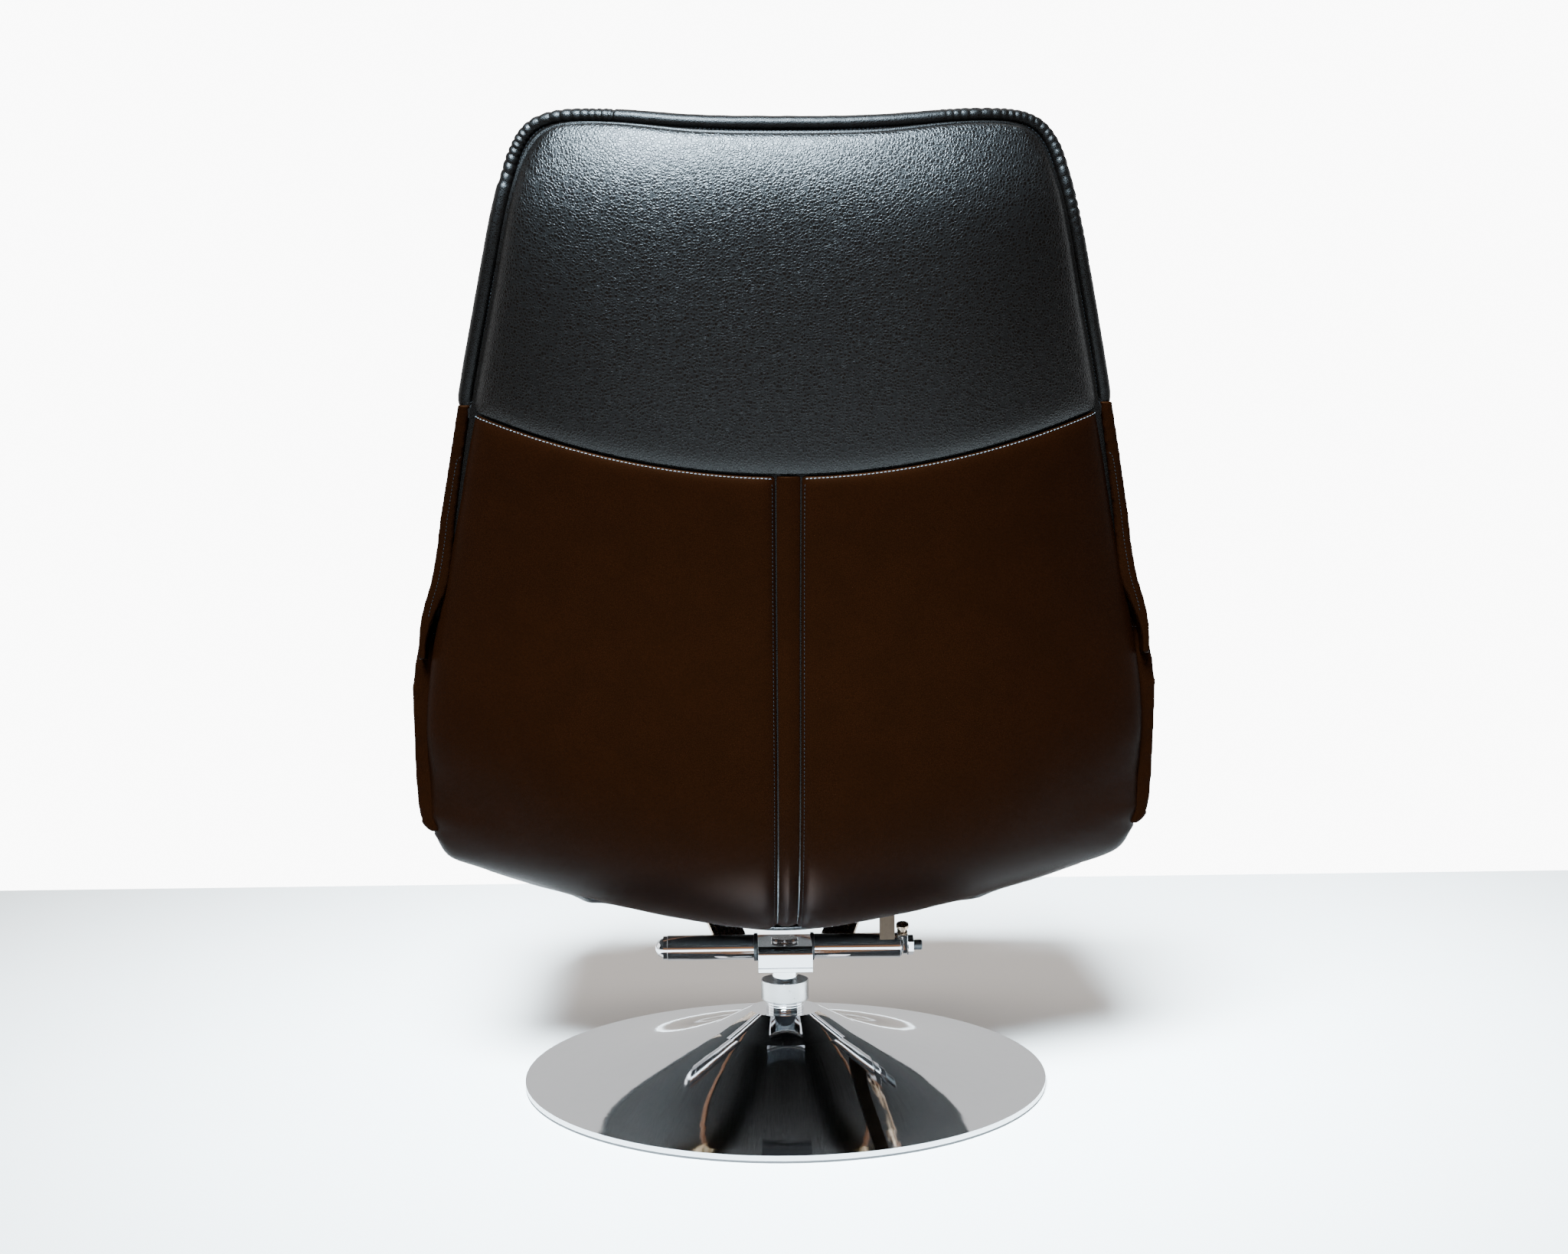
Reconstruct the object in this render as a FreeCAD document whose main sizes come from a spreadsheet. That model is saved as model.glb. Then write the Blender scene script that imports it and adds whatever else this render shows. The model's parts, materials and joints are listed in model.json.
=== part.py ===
"""High-back swivel recliner chair on a trumpet base, in millimetres.

+Z is up, +Y is the way the sitter faces, and the origin is on the floor at the swivel axis.
Four rigid groups: the base; the swivel head on its spindle; the tilting seat; the brake lever.
"""
import FreeCAD, Part
import math
import os

import Sketcher
from FreeCAD import Vector

doc = FreeCAD.newDocument("swivel_recliner")


# ---------------------------------------------------------------- driving dimensions

SIZES = {
    # trumpet base
    "base_radius": 305.0, "rim_height": 8.0, "base_wall": 2.0, "bell_radius": 725.0,
    "knee_radius": 84.0, "knee_height": 59.0, "neck_radius": 41.0, "plateau_height": 81.0,
    "floor_plate_thick": 2.5, "ballast_radius": 220.0, "ballast_thick": 10.0,
    "cover_screw_circle": 180.0, "cover_screw_radius": 2.5, "cover_screw_head": 6.0,
    "cover_screw_sink": 1.5, "cover_screw_length": 9.0,
    # socket, bearing and spindle
    "socket_radius": 21.0, "socket_wall": 3.5, "socket_top": 96.0, "flange_radius": 36.0,
    "flange_thick": 6.0, "shoulder_radius": 30.0, "shoulder_thick": 6.0,
    "foot_bolt_circle": 28.5, "foot_bolt_radius": 3.0, "foot_bolt_head": 5.0, "foot_bolt_head_thick": 4.0,
    "neck_sleeve_radius": 22.5, "neck_sleeve_length": 12.0, "groove_depth": 0.5, "groove_width": 0.7,
    "collar_radius": 28.0, "collar_wall": 1.3, "collar_floor": 3.0, "collar_height": 22.5,
    "race_thick": 2.5, "race_width": 8.0, "ball_radius": 1.8, "seal_thick": 3.0, "seal_gap": 0.3,
    "journal_radius": 12.0, "spindle_radius": 15.0, "spindle_flange": 21.0, "spindle_flange_thick": 3.5,
    "bush_length": 18.0, "clip_thick": 1.2, "clip_radius": 16.0, "groove_radius": 11.0,
    "spindle_tail": 3.6, "spindle_lift": 5.0,
    # swivel head
    "head_width": 63.0, "strap_thick": 5.0, "strap_bottom": 132.0, "strap_rear": 38.0, "strap_bend": 9.0,
    "strap_slit": 0.4, "pivot_forward": 33.0, "axle_radius": 9.5, "cap_bolt_head": 15.0,
    "cap_bolt_head_thick": 4.0, "cap_bolt_radius": 6.0, "cap_bolt_depth": 22.0, "spacer_radius": 11.0,
    # tilt sleeves, brake and end fittings
    "sleeve_radius": 15.0, "sleeve_bush_thick": 2.5, "sleeve_start": 36.0, "sleeve_length": 103.0,
    "washer_radius": 16.6, "cap_ring_radius": 14.35, "cap_ring_length": 4.9, "dome_radius": 12.0,
    "dome_length": 9.5, "spring_radius": 12.8, "spring_rim": 1.5, "spring_height": 2.9,
    "lever_thick": 5.4, "lever_radius": 11.3, "lever_lean": 20.0, "lever_tab_start": 15.7,
    "lever_tab_thick": 2.0, "lever_tab_reach": 6.2, "lever_tab_half": 8.0, "post_radius": 4.15,
    "post_foot_radius": 6.2, "post_foot_thick": 1.0, "post_length": 6.6, "post_head_radius": 7.5,
    "post_head_thick": 3.6, "post_inset": 3.35, "key_radius": 3.0, "key_depth": 2.4,
    "star_radius": 12.2, "star_root": 10.6, "star_thick": 1.0, "nut_radius": 12.2, "nut_thick": 6.2,
    "stud_radius": 5.0, "stud_depth": 26.0, "stud_reach": 5.0, "stud_cap_radius": 6.0,
    "stud_cap_length": 10.8,
    # seat irons
    "iron_width": 40.0, "iron_thick": 5.6, "iron_splay": 22.0, "iron_inset": 62.0, "iron_elbow": 80.0,
    "iron_rise": 56.5, "iron_length": 300.0, "iron_tip_rise": 82.5, "iron_root_rise": 4.0,
    "bearer_start": 92.0, "bearer_length": 200.0, "bearer_width": 30.0, "iron_screw_first": 130.0,
    "iron_screw_pitch": 130.0, "iron_screw_radius": 3.0, "iron_screw_head": 6.0,
    "iron_screw_head_thick": 3.5, "iron_screw_length": 27.0,
    "strut_start": 114.0, "strut_width": 18.0, "strut_web": 6.0, "strut_flange": 4.0, "strut_depth": 24.0,
    # moulded shell and its covers
    "shell_half": 384.0, "trough_half": 371.0, "trough_rise": 84.0, "trough_front": 352.0,
    "seat_rake": 4.0, "back_wrap": 110.0, "skin_thick": 2.0, "shell_thick": 12.0, "shell_foot": 358.0,
    "corner_height": 287.0, "corner_side": 376.0, "crown_dip": 18.0, "crown_corner": 42.0,
    "piping_radius": 7.5, "strip_half": 12.5, "seam_sag": 71.0,
    # cushions, armrests and wings
    "cushion_half": 297.0, "seat_rear": 200.0, "seat_front": 392.0, "seat_top_rear": 398.0,
    "seat_top_front": 430.0, "seat_nose": 60.0, "cover_thick": 2.5, "cushion_bottom": 412.0,
    "side_outer": 408.0, "side_inner": 300.0, "side_bottom": 311.0, "side_top": 548.0,
    "side_front": 262.0, "side_rear": 104.0, "side_rear_rake": 36.0, "side_round": 36.0, "side_lean": 11.0,
    "wing_depth": 96.0, "wing_waist_depth": 77.0, "wing_top_depth": 48.0, "wing_lap": 17.0,
    "wing_top_lap": 12.8,
    # clearances
    "fit": 0.04, "seat_gap": 0.3, "soft_gap": 0.5, "axial_gap": 0.15,
}

# The rear surface of the moulded shell on its centre line, from the crown down to the keel: name,
# height, distance behind the swivel axis and, down to the hip, half width and depth of the padding.
STATIONS = [
    ("crown", 1052.0, 333.0, 252.0, 60.0),
    ("head", 1000.0, 343.0, 268.0, 102.0),
    ("nape", 900.0, 334.0, 294.0, 112.0),
    ("seam", 772.0, 303.0, 326.0, 118.0),
    ("blade", 640.0, 268.0, 354.0, 132.0),
    ("elbow", 521.0, 248.0, 376.0, 146.0),
    ("hip", 390.0, 234.0, 384.0, 140.0),
    ("tuck", 290.0, 205.0),
    ("turn", 222.0, 150.0),
    ("keel", 195.0, 70.0),
]
for station, *values in STATIONS:
    for measure, value in zip(("height", "behind", "half", "depth"), values):
        SIZES[f"{station}_{measure}"] = value

sheet = doc.addObject("Spreadsheet::Sheet", "Sizes")
for row, (alias, value) in enumerate(SIZES.items(), start=1):
    sheet.set(f"A{row}", alias)
    sheet.set(f"B{row}", f"{value:g}")
    sheet.setAlias(f"B{row}", alias)
doc.recompute()


class Dim:
    """A length with the spreadsheet formula that it comes from, so that arithmetic keeps the link."""

    def __init__(self, value, text):
        self.value = float(value)
        self.text = text

    def _join(self, other, sign, result, swap=False):
        other = as_dim(other)
        left, right = (other, self) if swap else (self, other)
        return Dim(result(left.value, right.value), f"({left.text} {sign} {right.text})")

    def __add__(self, other):
        return self._join(other, "+", lambda a, b: a + b)

    def __radd__(self, other):
        return self._join(other, "+", lambda a, b: a + b, True)

    def __sub__(self, other):
        return self._join(other, "-", lambda a, b: a - b)

    def __rsub__(self, other):
        return self._join(other, "-", lambda a, b: a - b, True)

    def __mul__(self, other):
        return self._join(other, "*", lambda a, b: a * b)

    def __rmul__(self, other):
        return self._join(other, "*", lambda a, b: a * b, True)

    def __truediv__(self, other):
        return self._join(other, "/", lambda a, b: a / b)

    def __neg__(self):
        return Dim(-self.value, f"(0 - {self.text})")


def as_dim(value):
    return value if isinstance(value, Dim) else Dim(value, f"{float(value):.6g}")


def size(alias):
    return Dim(float(sheet.get(alias)), f"Sizes.{alias}")


def mm(alias):
    """The plain number of a size, for shapes that are computed here."""
    return float(sheet.get(alias))


# ---------------------------------------------------------------- document helpers

nodes = {}

PLANES = {"XY": "XY_Plane", "XZ": "XZ_Plane", "YZ": "YZ_Plane"}


def new_body(label):
    body = doc.addObject("PartDesign::Body", label)
    body.Label = label
    return body


def node(label, thing):
    """Registers a finished object as one sub-part of the chair."""
    thing.Label = label
    nodes[label] = thing
    return thing


def arc_centre(a, b, radius):
    """Centre of the arc from a to b that turns left for a positive radius, right for a negative one."""
    chord = b - a
    half = chord.Length / 2
    reach = math.sqrt(max(radius * radius - half * half, 0.0))
    left = Vector(-chord.y, chord.x, 0).normalize()
    return (a + b) / 2 + left * (reach if radius > 0 else -reach)


def outline(body, plane, points, name="Outline"):
    """A closed sketch through points (x, y) or (x, y, r), where r is the radius of the arc to the next
    point: positive turns left. Every point and radius is bound to the sheet."""
    sketch = body.newObject("Sketcher::SketchObject", name)
    origin = next(f for f in body.Origin.OriginFeatures if f.Role == PLANES[plane])
    sketch.AttachmentSupport = [(origin, "")]
    sketch.MapMode = "FlatFace"
    corners = [(as_dim(p[0]), as_dim(p[1]), as_dim(p[2]) if len(p) > 2 else None) for p in points]
    places = [Vector(x.value, y.value, 0) for x, y, _ in corners]
    count = len(corners)
    ends = []
    for i, (_, _, radius) in enumerate(corners):
        a, b = places[i], places[(i + 1) % count]
        if radius is None:
            sketch.addGeometry(Part.LineSegment(a, b))
            ends.append((1, 2))
            continue
        centre = arc_centre(a, b, radius.value)
        start, stop = (a, b) if radius.value > 0 else (b, a)
        angles = [math.atan2(p.y - centre.y, p.x - centre.x) for p in (start, stop)]
        circle = Part.Circle(centre, Vector(0, 0, 1), abs(radius.value))
        sketch.addGeometry(Part.ArcOfCircle(circle, *angles))
        ends.append((1, 2) if radius.value > 0 else (2, 1))
    for i in range(count):
        after = (i + 1) % count
        sketch.addConstraint(Sketcher.Constraint("Coincident", i, ends[i][1], after, ends[after][0]))
    for i, (x, y, radius) in enumerate(corners):
        for kind, dim, axis in (("DistanceX", x, -2), ("DistanceY", y, -1)):
            if abs(dim.value) < 1e-9:
                sketch.addConstraint(Sketcher.Constraint("PointOnObject", i, ends[i][0], axis))
                continue
            index = sketch.addConstraint(
                Sketcher.Constraint(kind, -1, 1, i, ends[i][0], dim.value))
            sketch.setExpression(f"Constraints[{index}]", dim.text)
        if radius is not None:
            index = sketch.addConstraint(Sketcher.Constraint("Radius", i, abs(radius.value)))
            text = radius.text if radius.value > 0 else (-radius).text
            sketch.setExpression(f"Constraints[{index}]", text)
    return sketch


def circles(body, plane, rings, name="Circles"):
    """A sketch of circles, each given as (x, y, radius)."""
    sketch = body.newObject("Sketcher::SketchObject", name)
    origin = next(f for f in body.Origin.OriginFeatures if f.Role == PLANES[plane])
    sketch.AttachmentSupport = [(origin, "")]
    sketch.MapMode = "FlatFace"
    for i, ring in enumerate(rings):
        x, y, radius = (as_dim(part) for part in ring)
        sketch.addGeometry(Part.Circle(Vector(x.value, y.value, 0), Vector(0, 0, 1), radius.value))
        for kind, dim, axis in (("DistanceX", x, -2), ("DistanceY", y, -1)):
            if abs(dim.value) < 1e-9:
                sketch.addConstraint(Sketcher.Constraint("PointOnObject", i, 3, axis))
                continue
            index = sketch.addConstraint(Sketcher.Constraint(kind, -1, 1, i, 3, dim.value))
            sketch.setExpression(f"Constraints[{index}]", dim.text)
        index = sketch.addConstraint(Sketcher.Constraint("Radius", i, radius.value))
        sketch.setExpression(f"Constraints[{index}]", radius.text)
    return sketch


def place(thing, x=0, y=0, z=0, axis=None, angle=0):
    """Puts an object at (x, y, z), turned about a unit axis, with each value bound to the sheet."""
    spot = [as_dim(value) for value in (x, y, z)]
    turn = as_dim(angle)
    spin = FreeCAD.Rotation(axis or Vector(0, 0, 1), turn.value)
    thing.Placement = FreeCAD.Placement(Vector(*(dim.value for dim in spot)), spin)
    for letter, dim in zip("xyz", spot):
        if "Sizes." in dim.text:
            thing.setExpression(f".Placement.Base.{letter}", dim.text)
    if "Sizes." in turn.text:
        thing.setExpression(".Placement.Rotation.Angle", turn.text)
    return thing


def lathe(label, points, axis="Z"):
    """A turned piece: points are (radius, height) for the Z axis, or (length, radius) for the X axis."""
    body = new_body(label)
    sketch = outline(body, "XZ", points)
    turn = body.newObject("PartDesign::Revolution", "Turn")
    turn.Profile = sketch
    turn.ReferenceAxis = (sketch, ["V_Axis" if axis == "Z" else "H_Axis"])
    turn.Angle = 360
    sketch.Visibility = False
    return body


def slab(label, plane, points, thick, symmetric=True):
    """A flat or prismatic piece: an outline padded by thick, both ways or along the plane's normal."""
    body = new_body(label)
    sketch = outline(body, plane, points)
    pad_on(body, sketch, thick, symmetric)
    return body


def pad_on(body, sketch, thick, symmetric=True):
    pad = body.newObject("PartDesign::Pad", "Pad")
    pad.Profile = sketch
    thick = as_dim(thick)
    pad.Length = thick.value
    pad.setExpression("Length", thick.text)
    if symmetric:
        pad.SideType = "Symmetric"
    return pad


def pocket(body, plane, rings, name="Holes"):
    """Drills round holes right through a body, both ways from a plane of its origin."""
    sketch = circles(body, plane, rings, name)
    cut = body.newObject("PartDesign::Pocket", "Pocket")
    cut.Profile = sketch
    cut.Type = "ThroughAll"
    cut.SideType = "Symmetric"
    return cut


def boolean(kind, label, base, tool):
    """Part::Cut, Part::Common or Part::Fuse of two document objects."""
    result = doc.addObject(f"Part::{kind}", label)
    result.Base = base
    result.Tool = tool
    return result


def shaped(label, shape):
    """A Part::Feature whose shape is computed here from the sheet."""
    feature = doc.addObject("Part::Feature", label)
    feature.Shape = shape
    return feature


# ---------------------------------------------------------------- shared heights and stations

s = size

GAP = s("axial_gap")
FLOOR_TOP = s("floor_plate_thick")
BALLAST_TOP = FLOOR_TOP + s("ballast_thick")
FLANGE_TOP = BALLAST_TOP + s("flange_thick")
PLATEAU_UNDER = s("plateau_height") - s("base_wall")
COLLAR_BOTTOM = s("plateau_height") + s("neck_sleeve_length")
COLLAR_SEAT = s("socket_top") + s("collar_floor")
COLLAR_TOP = COLLAR_BOTTOM + s("collar_height")
BORE = s("socket_radius") - s("socket_wall")
RACE_TOP = COLLAR_SEAT + s("race_thick")
BALL_TOP = RACE_TOP + 2 * s("ball_radius") + s("fit")
UPPER_RACE_TOP = BALL_TOP + s("race_thick")
SPINDLE_BOTTOM = BALLAST_TOP + s("spindle_tail")
CLIP_BOTTOM = SPINDLE_BOTTOM + s("spindle_lift") - s("clip_thick")
CLIP_TOP = SPINDLE_BOTTOM + s("spindle_lift")
STRAP_TOP = s("strap_bottom") + 2 * (s("axle_radius") + s("strap_thick"))
PIVOT_Y = s("pivot_forward")
PIVOT_Z = s("strap_bottom") + s("axle_radius") + s("strap_thick")
SLEEVE_END = s("sleeve_start") + s("sleeve_length")
LEVER_START = SLEEVE_END + GAP + s("spring_height") + GAP
LEVER_END = LEVER_START + s("lever_thick")
STAR_START = LEVER_END + GAP
NUT_START = STAR_START + s("star_thick")
NUT_END = NUT_START + s("nut_thick")


def at_pivot(thing, x=0, axis=None, angle=0):
    return place(thing, x, PIVOT_Y, PIVOT_Z, axis, angle)


def turned_ring(label, inner, outer, bottom, top, axis="Z"):
    """A plain ring, washer or tube about an axis."""
    if axis == "Z":
        corners = [(inner, bottom), (outer, bottom), (outer, top), (inner, top)]
    else:
        corners = [(bottom, inner), (top, inner), (top, outer), (bottom, outer)]
    return lathe(label, corners, axis)


def ring_spots(radius, count, first=0.0):
    """Centres of holes or bolts that are evenly spaced on a circle, bound to its radius."""
    spots = []
    for i in range(count):
        angle = math.radians(first + 360.0 * i / count)
        spots.append((radius * round(math.cos(angle), 6), radius * round(math.sin(angle), 6)))
    return spots


# ---------------------------------------------------------------- base


def make_base_trumpet():
    wall = s("base_wall")
    hole = s("socket_radius") + s("fit")
    return lathe("base_trumpet", [
        (s("base_radius") - wall, FLOOR_TOP),
        (s("base_radius"), FLOOR_TOP),
        (s("base_radius"), s("rim_height"), -s("bell_radius")),
        (s("knee_radius"), s("knee_height")),
        (s("neck_radius"), s("plateau_height")),
        (hole, s("plateau_height")),
        (hole, PLATEAU_UNDER),
        (s("neck_radius") - wall / 2, PLATEAU_UNDER),
        (s("knee_radius") - wall / 2, s("knee_height") - wall, s("bell_radius")),
        (s("base_radius") - wall, s("rim_height") - wall),
    ])


def make_floor_plate():
    body = lathe("floor_plate", [
        (0, 0), (s("base_radius") - s("axial_gap"), 0),
        (s("base_radius") - s("axial_gap"), FLOOR_TOP), (0, FLOOR_TOP),
    ])
    spots = ring_spots(s("cover_screw_circle"), 4, 45)
    pocket(body, "XY", [(x, y, s("cover_screw_radius")) for x, y in spots], "ScrewHoles")
    sink = circles(body, "XY", [(x, y, s("cover_screw_head") + s("seat_gap")) for x, y in spots], "Sinks")
    cut = body.newObject("PartDesign::Pocket", "Counterbores")
    cut.Profile = sink
    cut.Reversed = True
    cut.Length = mm("cover_screw_sink")
    cut.setExpression("Length", "Sizes.cover_screw_sink")
    return body


def make_ballast_plate():
    body = lathe("ballast_plate", [
        (0, FLOOR_TOP), (s("ballast_radius"), FLOOR_TOP), (s("ballast_radius"), BALLAST_TOP),
        (0, BALLAST_TOP),
    ])
    holes = [(x, y, s("cover_screw_radius")) for x, y in ring_spots(s("cover_screw_circle"), 4, 45)]
    holes += [(x, y, s("foot_bolt_radius")) for x, y in ring_spots(s("foot_bolt_circle"), 4)]
    pocket(body, "XY", holes)
    return body


def make_pedestal_socket():
    tube = s("socket_radius")
    body = lathe("pedestal_socket", [
        (BORE, BALLAST_TOP), (s("flange_radius"), BALLAST_TOP), (s("flange_radius"), FLANGE_TOP),
        (tube, FLANGE_TOP), (tube, PLATEAU_UNDER - s("shoulder_thick")),
        (s("shoulder_radius"), PLATEAU_UNDER - s("shoulder_thick")), (s("shoulder_radius"), PLATEAU_UNDER),
        (tube, PLATEAU_UNDER), (tube, s("socket_top")), (BORE, s("socket_top")),
    ])
    sketch = circles(body, "XY", [(x, y, s("foot_bolt_radius")) for x, y in
                                  ring_spots(s("foot_bolt_circle"), 4)], "BoltHoles")
    cut = body.newObject("PartDesign::Pocket", "Bolts")
    cut.Profile = sketch
    cut.Reversed = True
    cut.Length = FLANGE_TOP.value
    cut.setExpression("Length", FLANGE_TOP.text)
    return body


def screw_solid(shank, head, length, head_thick):
    """One screw along +Z with its head below the origin, as a plain shape."""
    return Part.makeCylinder(shank, length).fuse(
        Part.makeCylinder(head, head_thick, Vector(0, 0, -head_thick)))


def make_cover_screws():
    head = mm("cover_screw_sink") - mm("seat_gap")
    screw = screw_solid(mm("cover_screw_radius"), mm("cover_screw_head"), mm("cover_screw_length"), head)
    copies = []
    for x, y in ring_spots(s("cover_screw_circle"), 4, 45):
        copies.append(screw.translated(Vector(x.value, y.value, mm("cover_screw_sink"))))
    return shaped("cover_screws", Part.makeCompound(copies))


def make_foot_bolts():
    length = mm("ballast_thick") + mm("flange_thick") - mm("seat_gap")
    screw = screw_solid(mm("foot_bolt_radius"), mm("foot_bolt_head"), length, mm("foot_bolt_head_thick"))
    screw.rotate(Vector(0, 0, 0), Vector(1, 0, 0), 180)
    copies = []
    for x, y in ring_spots(s("foot_bolt_circle"), 4):
        copies.append(screw.translated(Vector(x.value, y.value, FLANGE_TOP.value)))
    return shaped("foot_bolts", Part.makeCompound(copies))


def make_neck_sleeve():
    """The ring that clamps the trumpet's plateau to the socket's shoulder, with three fine grooves."""
    outer = s("neck_sleeve_radius")
    inner = s("socket_radius")
    root = outer - s("groove_depth")
    bottom = s("plateau_height")
    corners = [(inner, bottom), (outer, bottom)]
    for i in (1, 2, 3):
        middle = bottom + s("neck_sleeve_length") * i / 4
        low, high = middle - s("groove_width") / 2, middle + s("groove_width") / 2
        corners += [(outer, low), (root, low), (root, high), (outer, high)]
    corners += [(outer, COLLAR_BOTTOM), (inner, COLLAR_BOTTOM)]
    return lathe("neck_sleeve", corners)


def make_bearing_collar():
    outer = s("collar_radius")
    return lathe("bearing_collar", [
        (s("socket_radius"), COLLAR_BOTTOM), (outer, COLLAR_BOTTOM), (outer, COLLAR_TOP),
        (outer - s("collar_wall"), COLLAR_TOP), (outer - s("collar_wall"), COLLAR_SEAT),
        (BORE, COLLAR_SEAT), (BORE, s("socket_top")), (s("socket_radius"), s("socket_top")),
    ])


def make_bearing_balls():
    circle = BORE.value + mm("race_width") / 2
    count = int(2 * math.pi * circle / (5 * mm("ball_radius")))
    balls = []
    for i in range(count):
        angle = 2 * math.pi * i / count
        spot = Vector(circle * math.cos(angle), circle * math.sin(angle), RACE_TOP.value + mm("ball_radius"))
        balls.append(Part.makeSphere(mm("ball_radius") - mm("fit") / 2, spot))
    return shaped("bearing_balls", Part.makeCompound(balls))


def make_base():
    node("base_trumpet", make_base_trumpet())
    node("floor_plate", make_floor_plate())
    node("ballast_plate", make_ballast_plate())
    node("cover_screws", make_cover_screws())
    node("pedestal_socket", make_pedestal_socket())
    node("foot_bolts", make_foot_bolts())
    node("neck_sleeve", make_neck_sleeve())
    node("bearing_collar", make_bearing_collar())
    journal = s("journal_radius") + s("fit")
    low = CLIP_TOP + GAP
    node("lower_bush", turned_ring("lower_bush", journal, BORE, low, low + s("bush_length")))
    node("upper_bush", turned_ring("upper_bush", journal, BORE, s("socket_top") - s("bush_length"),
                                   s("socket_top")))
    race = BORE + s("race_width")
    node("lower_race", turned_ring("lower_race", BORE, race, COLLAR_SEAT, RACE_TOP))
    node("bearing_balls", make_bearing_balls())
    node("collar_seal", turned_ring("collar_seal", s("spindle_radius") + s("seal_gap"),
                                    s("collar_radius") - s("collar_wall"),
                                    COLLAR_TOP - s("seal_thick"), COLLAR_TOP))


# ---------------------------------------------------------------- swivel head


def make_spindle():
    journal, upper = s("journal_radius"), s("spindle_radius")
    flange_top = UPPER_RACE_TOP + s("spindle_flange_thick")
    hole = s("cap_bolt_radius")
    return lathe("spindle", [
        (0, SPINDLE_BOTTOM), (journal, SPINDLE_BOTTOM), (journal, CLIP_BOTTOM),
        (s("groove_radius"), CLIP_BOTTOM), (s("groove_radius"), CLIP_TOP), (journal, CLIP_TOP),
        (journal, UPPER_RACE_TOP), (s("spindle_flange"), UPPER_RACE_TOP), (s("spindle_flange"), flange_top),
        (upper, flange_top), (upper, s("strap_bottom")), (hole, s("strap_bottom")),
        (hole, s("strap_bottom") - s("cap_bolt_depth")), (0, s("strap_bottom") - s("cap_bolt_depth")),
    ])


def make_swivel_bracket():
    """A strap bent into a closed loop: it wraps the axle in front and its ends meet at the rear foot."""
    thick, bend = s("strap_thick"), s("strap_bend")
    inner = s("axle_radius")
    outer = inner + thick
    low, rear = s("strap_bottom"), -s("strap_rear")
    lip = low + thick + s("strap_slit")
    body = slab("swivel_bracket", "YZ", [
        (rear, low), (PIVOT_Y, low, outer), (PIVOT_Y + outer, PIVOT_Z, outer),
        (PIVOT_Y, STRAP_TOP), (rear + bend, STRAP_TOP, bend), (rear, STRAP_TOP - bend), (rear, lip),
        (rear + thick, lip), (rear + thick, STRAP_TOP - bend, thick - bend),
        (rear + bend, STRAP_TOP - thick), (PIVOT_Y, STRAP_TOP - thick, -inner),
        (PIVOT_Y + inner, PIVOT_Z, -inner), (PIVOT_Y, low + thick), (rear, low + thick),
    ], s("head_width"))
    pocket(body, "XY", [(0, 0, s("cap_bolt_radius"))], "BoltHole")
    return body


def make_cap_bolt():
    shank, head, thick = s("cap_bolt_radius"), s("cap_bolt_head"), s("cap_bolt_head_thick")
    bottom = s("strap_bottom") - s("cap_bolt_depth") + s("seat_gap")
    return lathe("cap_bolt", [
        (0, bottom), (shank, bottom), (shank, STRAP_TOP), (head, STRAP_TOP),
        (head, STRAP_TOP + thick - 1), (head - 1, STRAP_TOP + thick), (0, STRAP_TOP + thick),
    ])


def make_tilt_axle():
    left = -(SLEEVE_END + GAP + s("cap_ring_length"))
    right = SLEEVE_END + GAP
    hole, depth = s("stud_radius"), s("stud_depth")
    return at_pivot(lathe("tilt_axle", [
        (left, 0), (right - depth, 0), (right - depth, hole), (right, hole), (right, s("axle_radius")),
        (left, s("axle_radius")),
    ], "X"))


def make_axle_cap():
    inner = -(SLEEVE_END + GAP)
    face = inner - s("cap_ring_length")
    dome, high = s("dome_radius"), s("dome_length")
    curve = (dome * dome + high * high) / (2 * high)
    return at_pivot(lathe("axle_cap", [
        (inner, s("axle_radius")), (inner, s("cap_ring_radius")), (face, s("cap_ring_radius")),
        (face, dome, curve), (face - high, 0), (face, 0), (face, s("axle_radius")),
    ], "X"))


def make_disc_spring():
    start = SLEEVE_END + GAP
    end = start + s("spring_height")
    hole, rim = s("stud_radius") + s("fit"), s("spring_rim")
    return at_pivot(lathe("disc_spring", [
        (start, s("spring_radius")), (start + rim, s("spring_radius")), (end, hole + 1), (end, hole),
        (end - rim, hole),
    ], "X"))


def make_star_washer():
    teeth = 12
    corners = []
    for i in range(2 * teeth):
        angle = math.pi * i / teeth
        radius = s("star_radius") if i % 2 == 0 else s("star_root")
        corners.append((radius * round(math.cos(angle), 6), radius * round(math.sin(angle), 6)))
    body = slab("star_washer", "YZ", corners, s("star_thick"))
    pocket(body, "YZ", [(0, 0, s("stud_radius"))])
    return at_pivot(body, STAR_START + s("star_thick") / 2)


def make_tension_nut():
    corners = ring_spots(s("nut_radius"), 6, 30)
    body = slab("tension_nut", "YZ", corners, s("nut_thick"))
    pocket(body, "YZ", [(0, 0, s("stud_radius"))])
    return at_pivot(body, NUT_START + s("nut_thick") / 2)


def make_tension_stud():
    start = SLEEVE_END + GAP - s("stud_depth") + s("seat_gap")
    end = NUT_END + s("stud_reach")
    return at_pivot(lathe("tension_stud", [(start, 0), (end, 0), (end, s("stud_radius")),
                                           (start, s("stud_radius"))], "X"))


def make_stud_cap():
    end = NUT_END + s("stud_cap_length")
    root = NUT_END + s("stud_reach")
    outer, inner = s("stud_cap_radius"), s("stud_radius")
    return at_pivot(lathe("stud_cap", [
        (NUT_END, inner), (root, inner), (root, 0), (end, 0), (end, outer - 1), (end - 1, outer),
        (NUT_END, outer),
    ], "X"))


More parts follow.
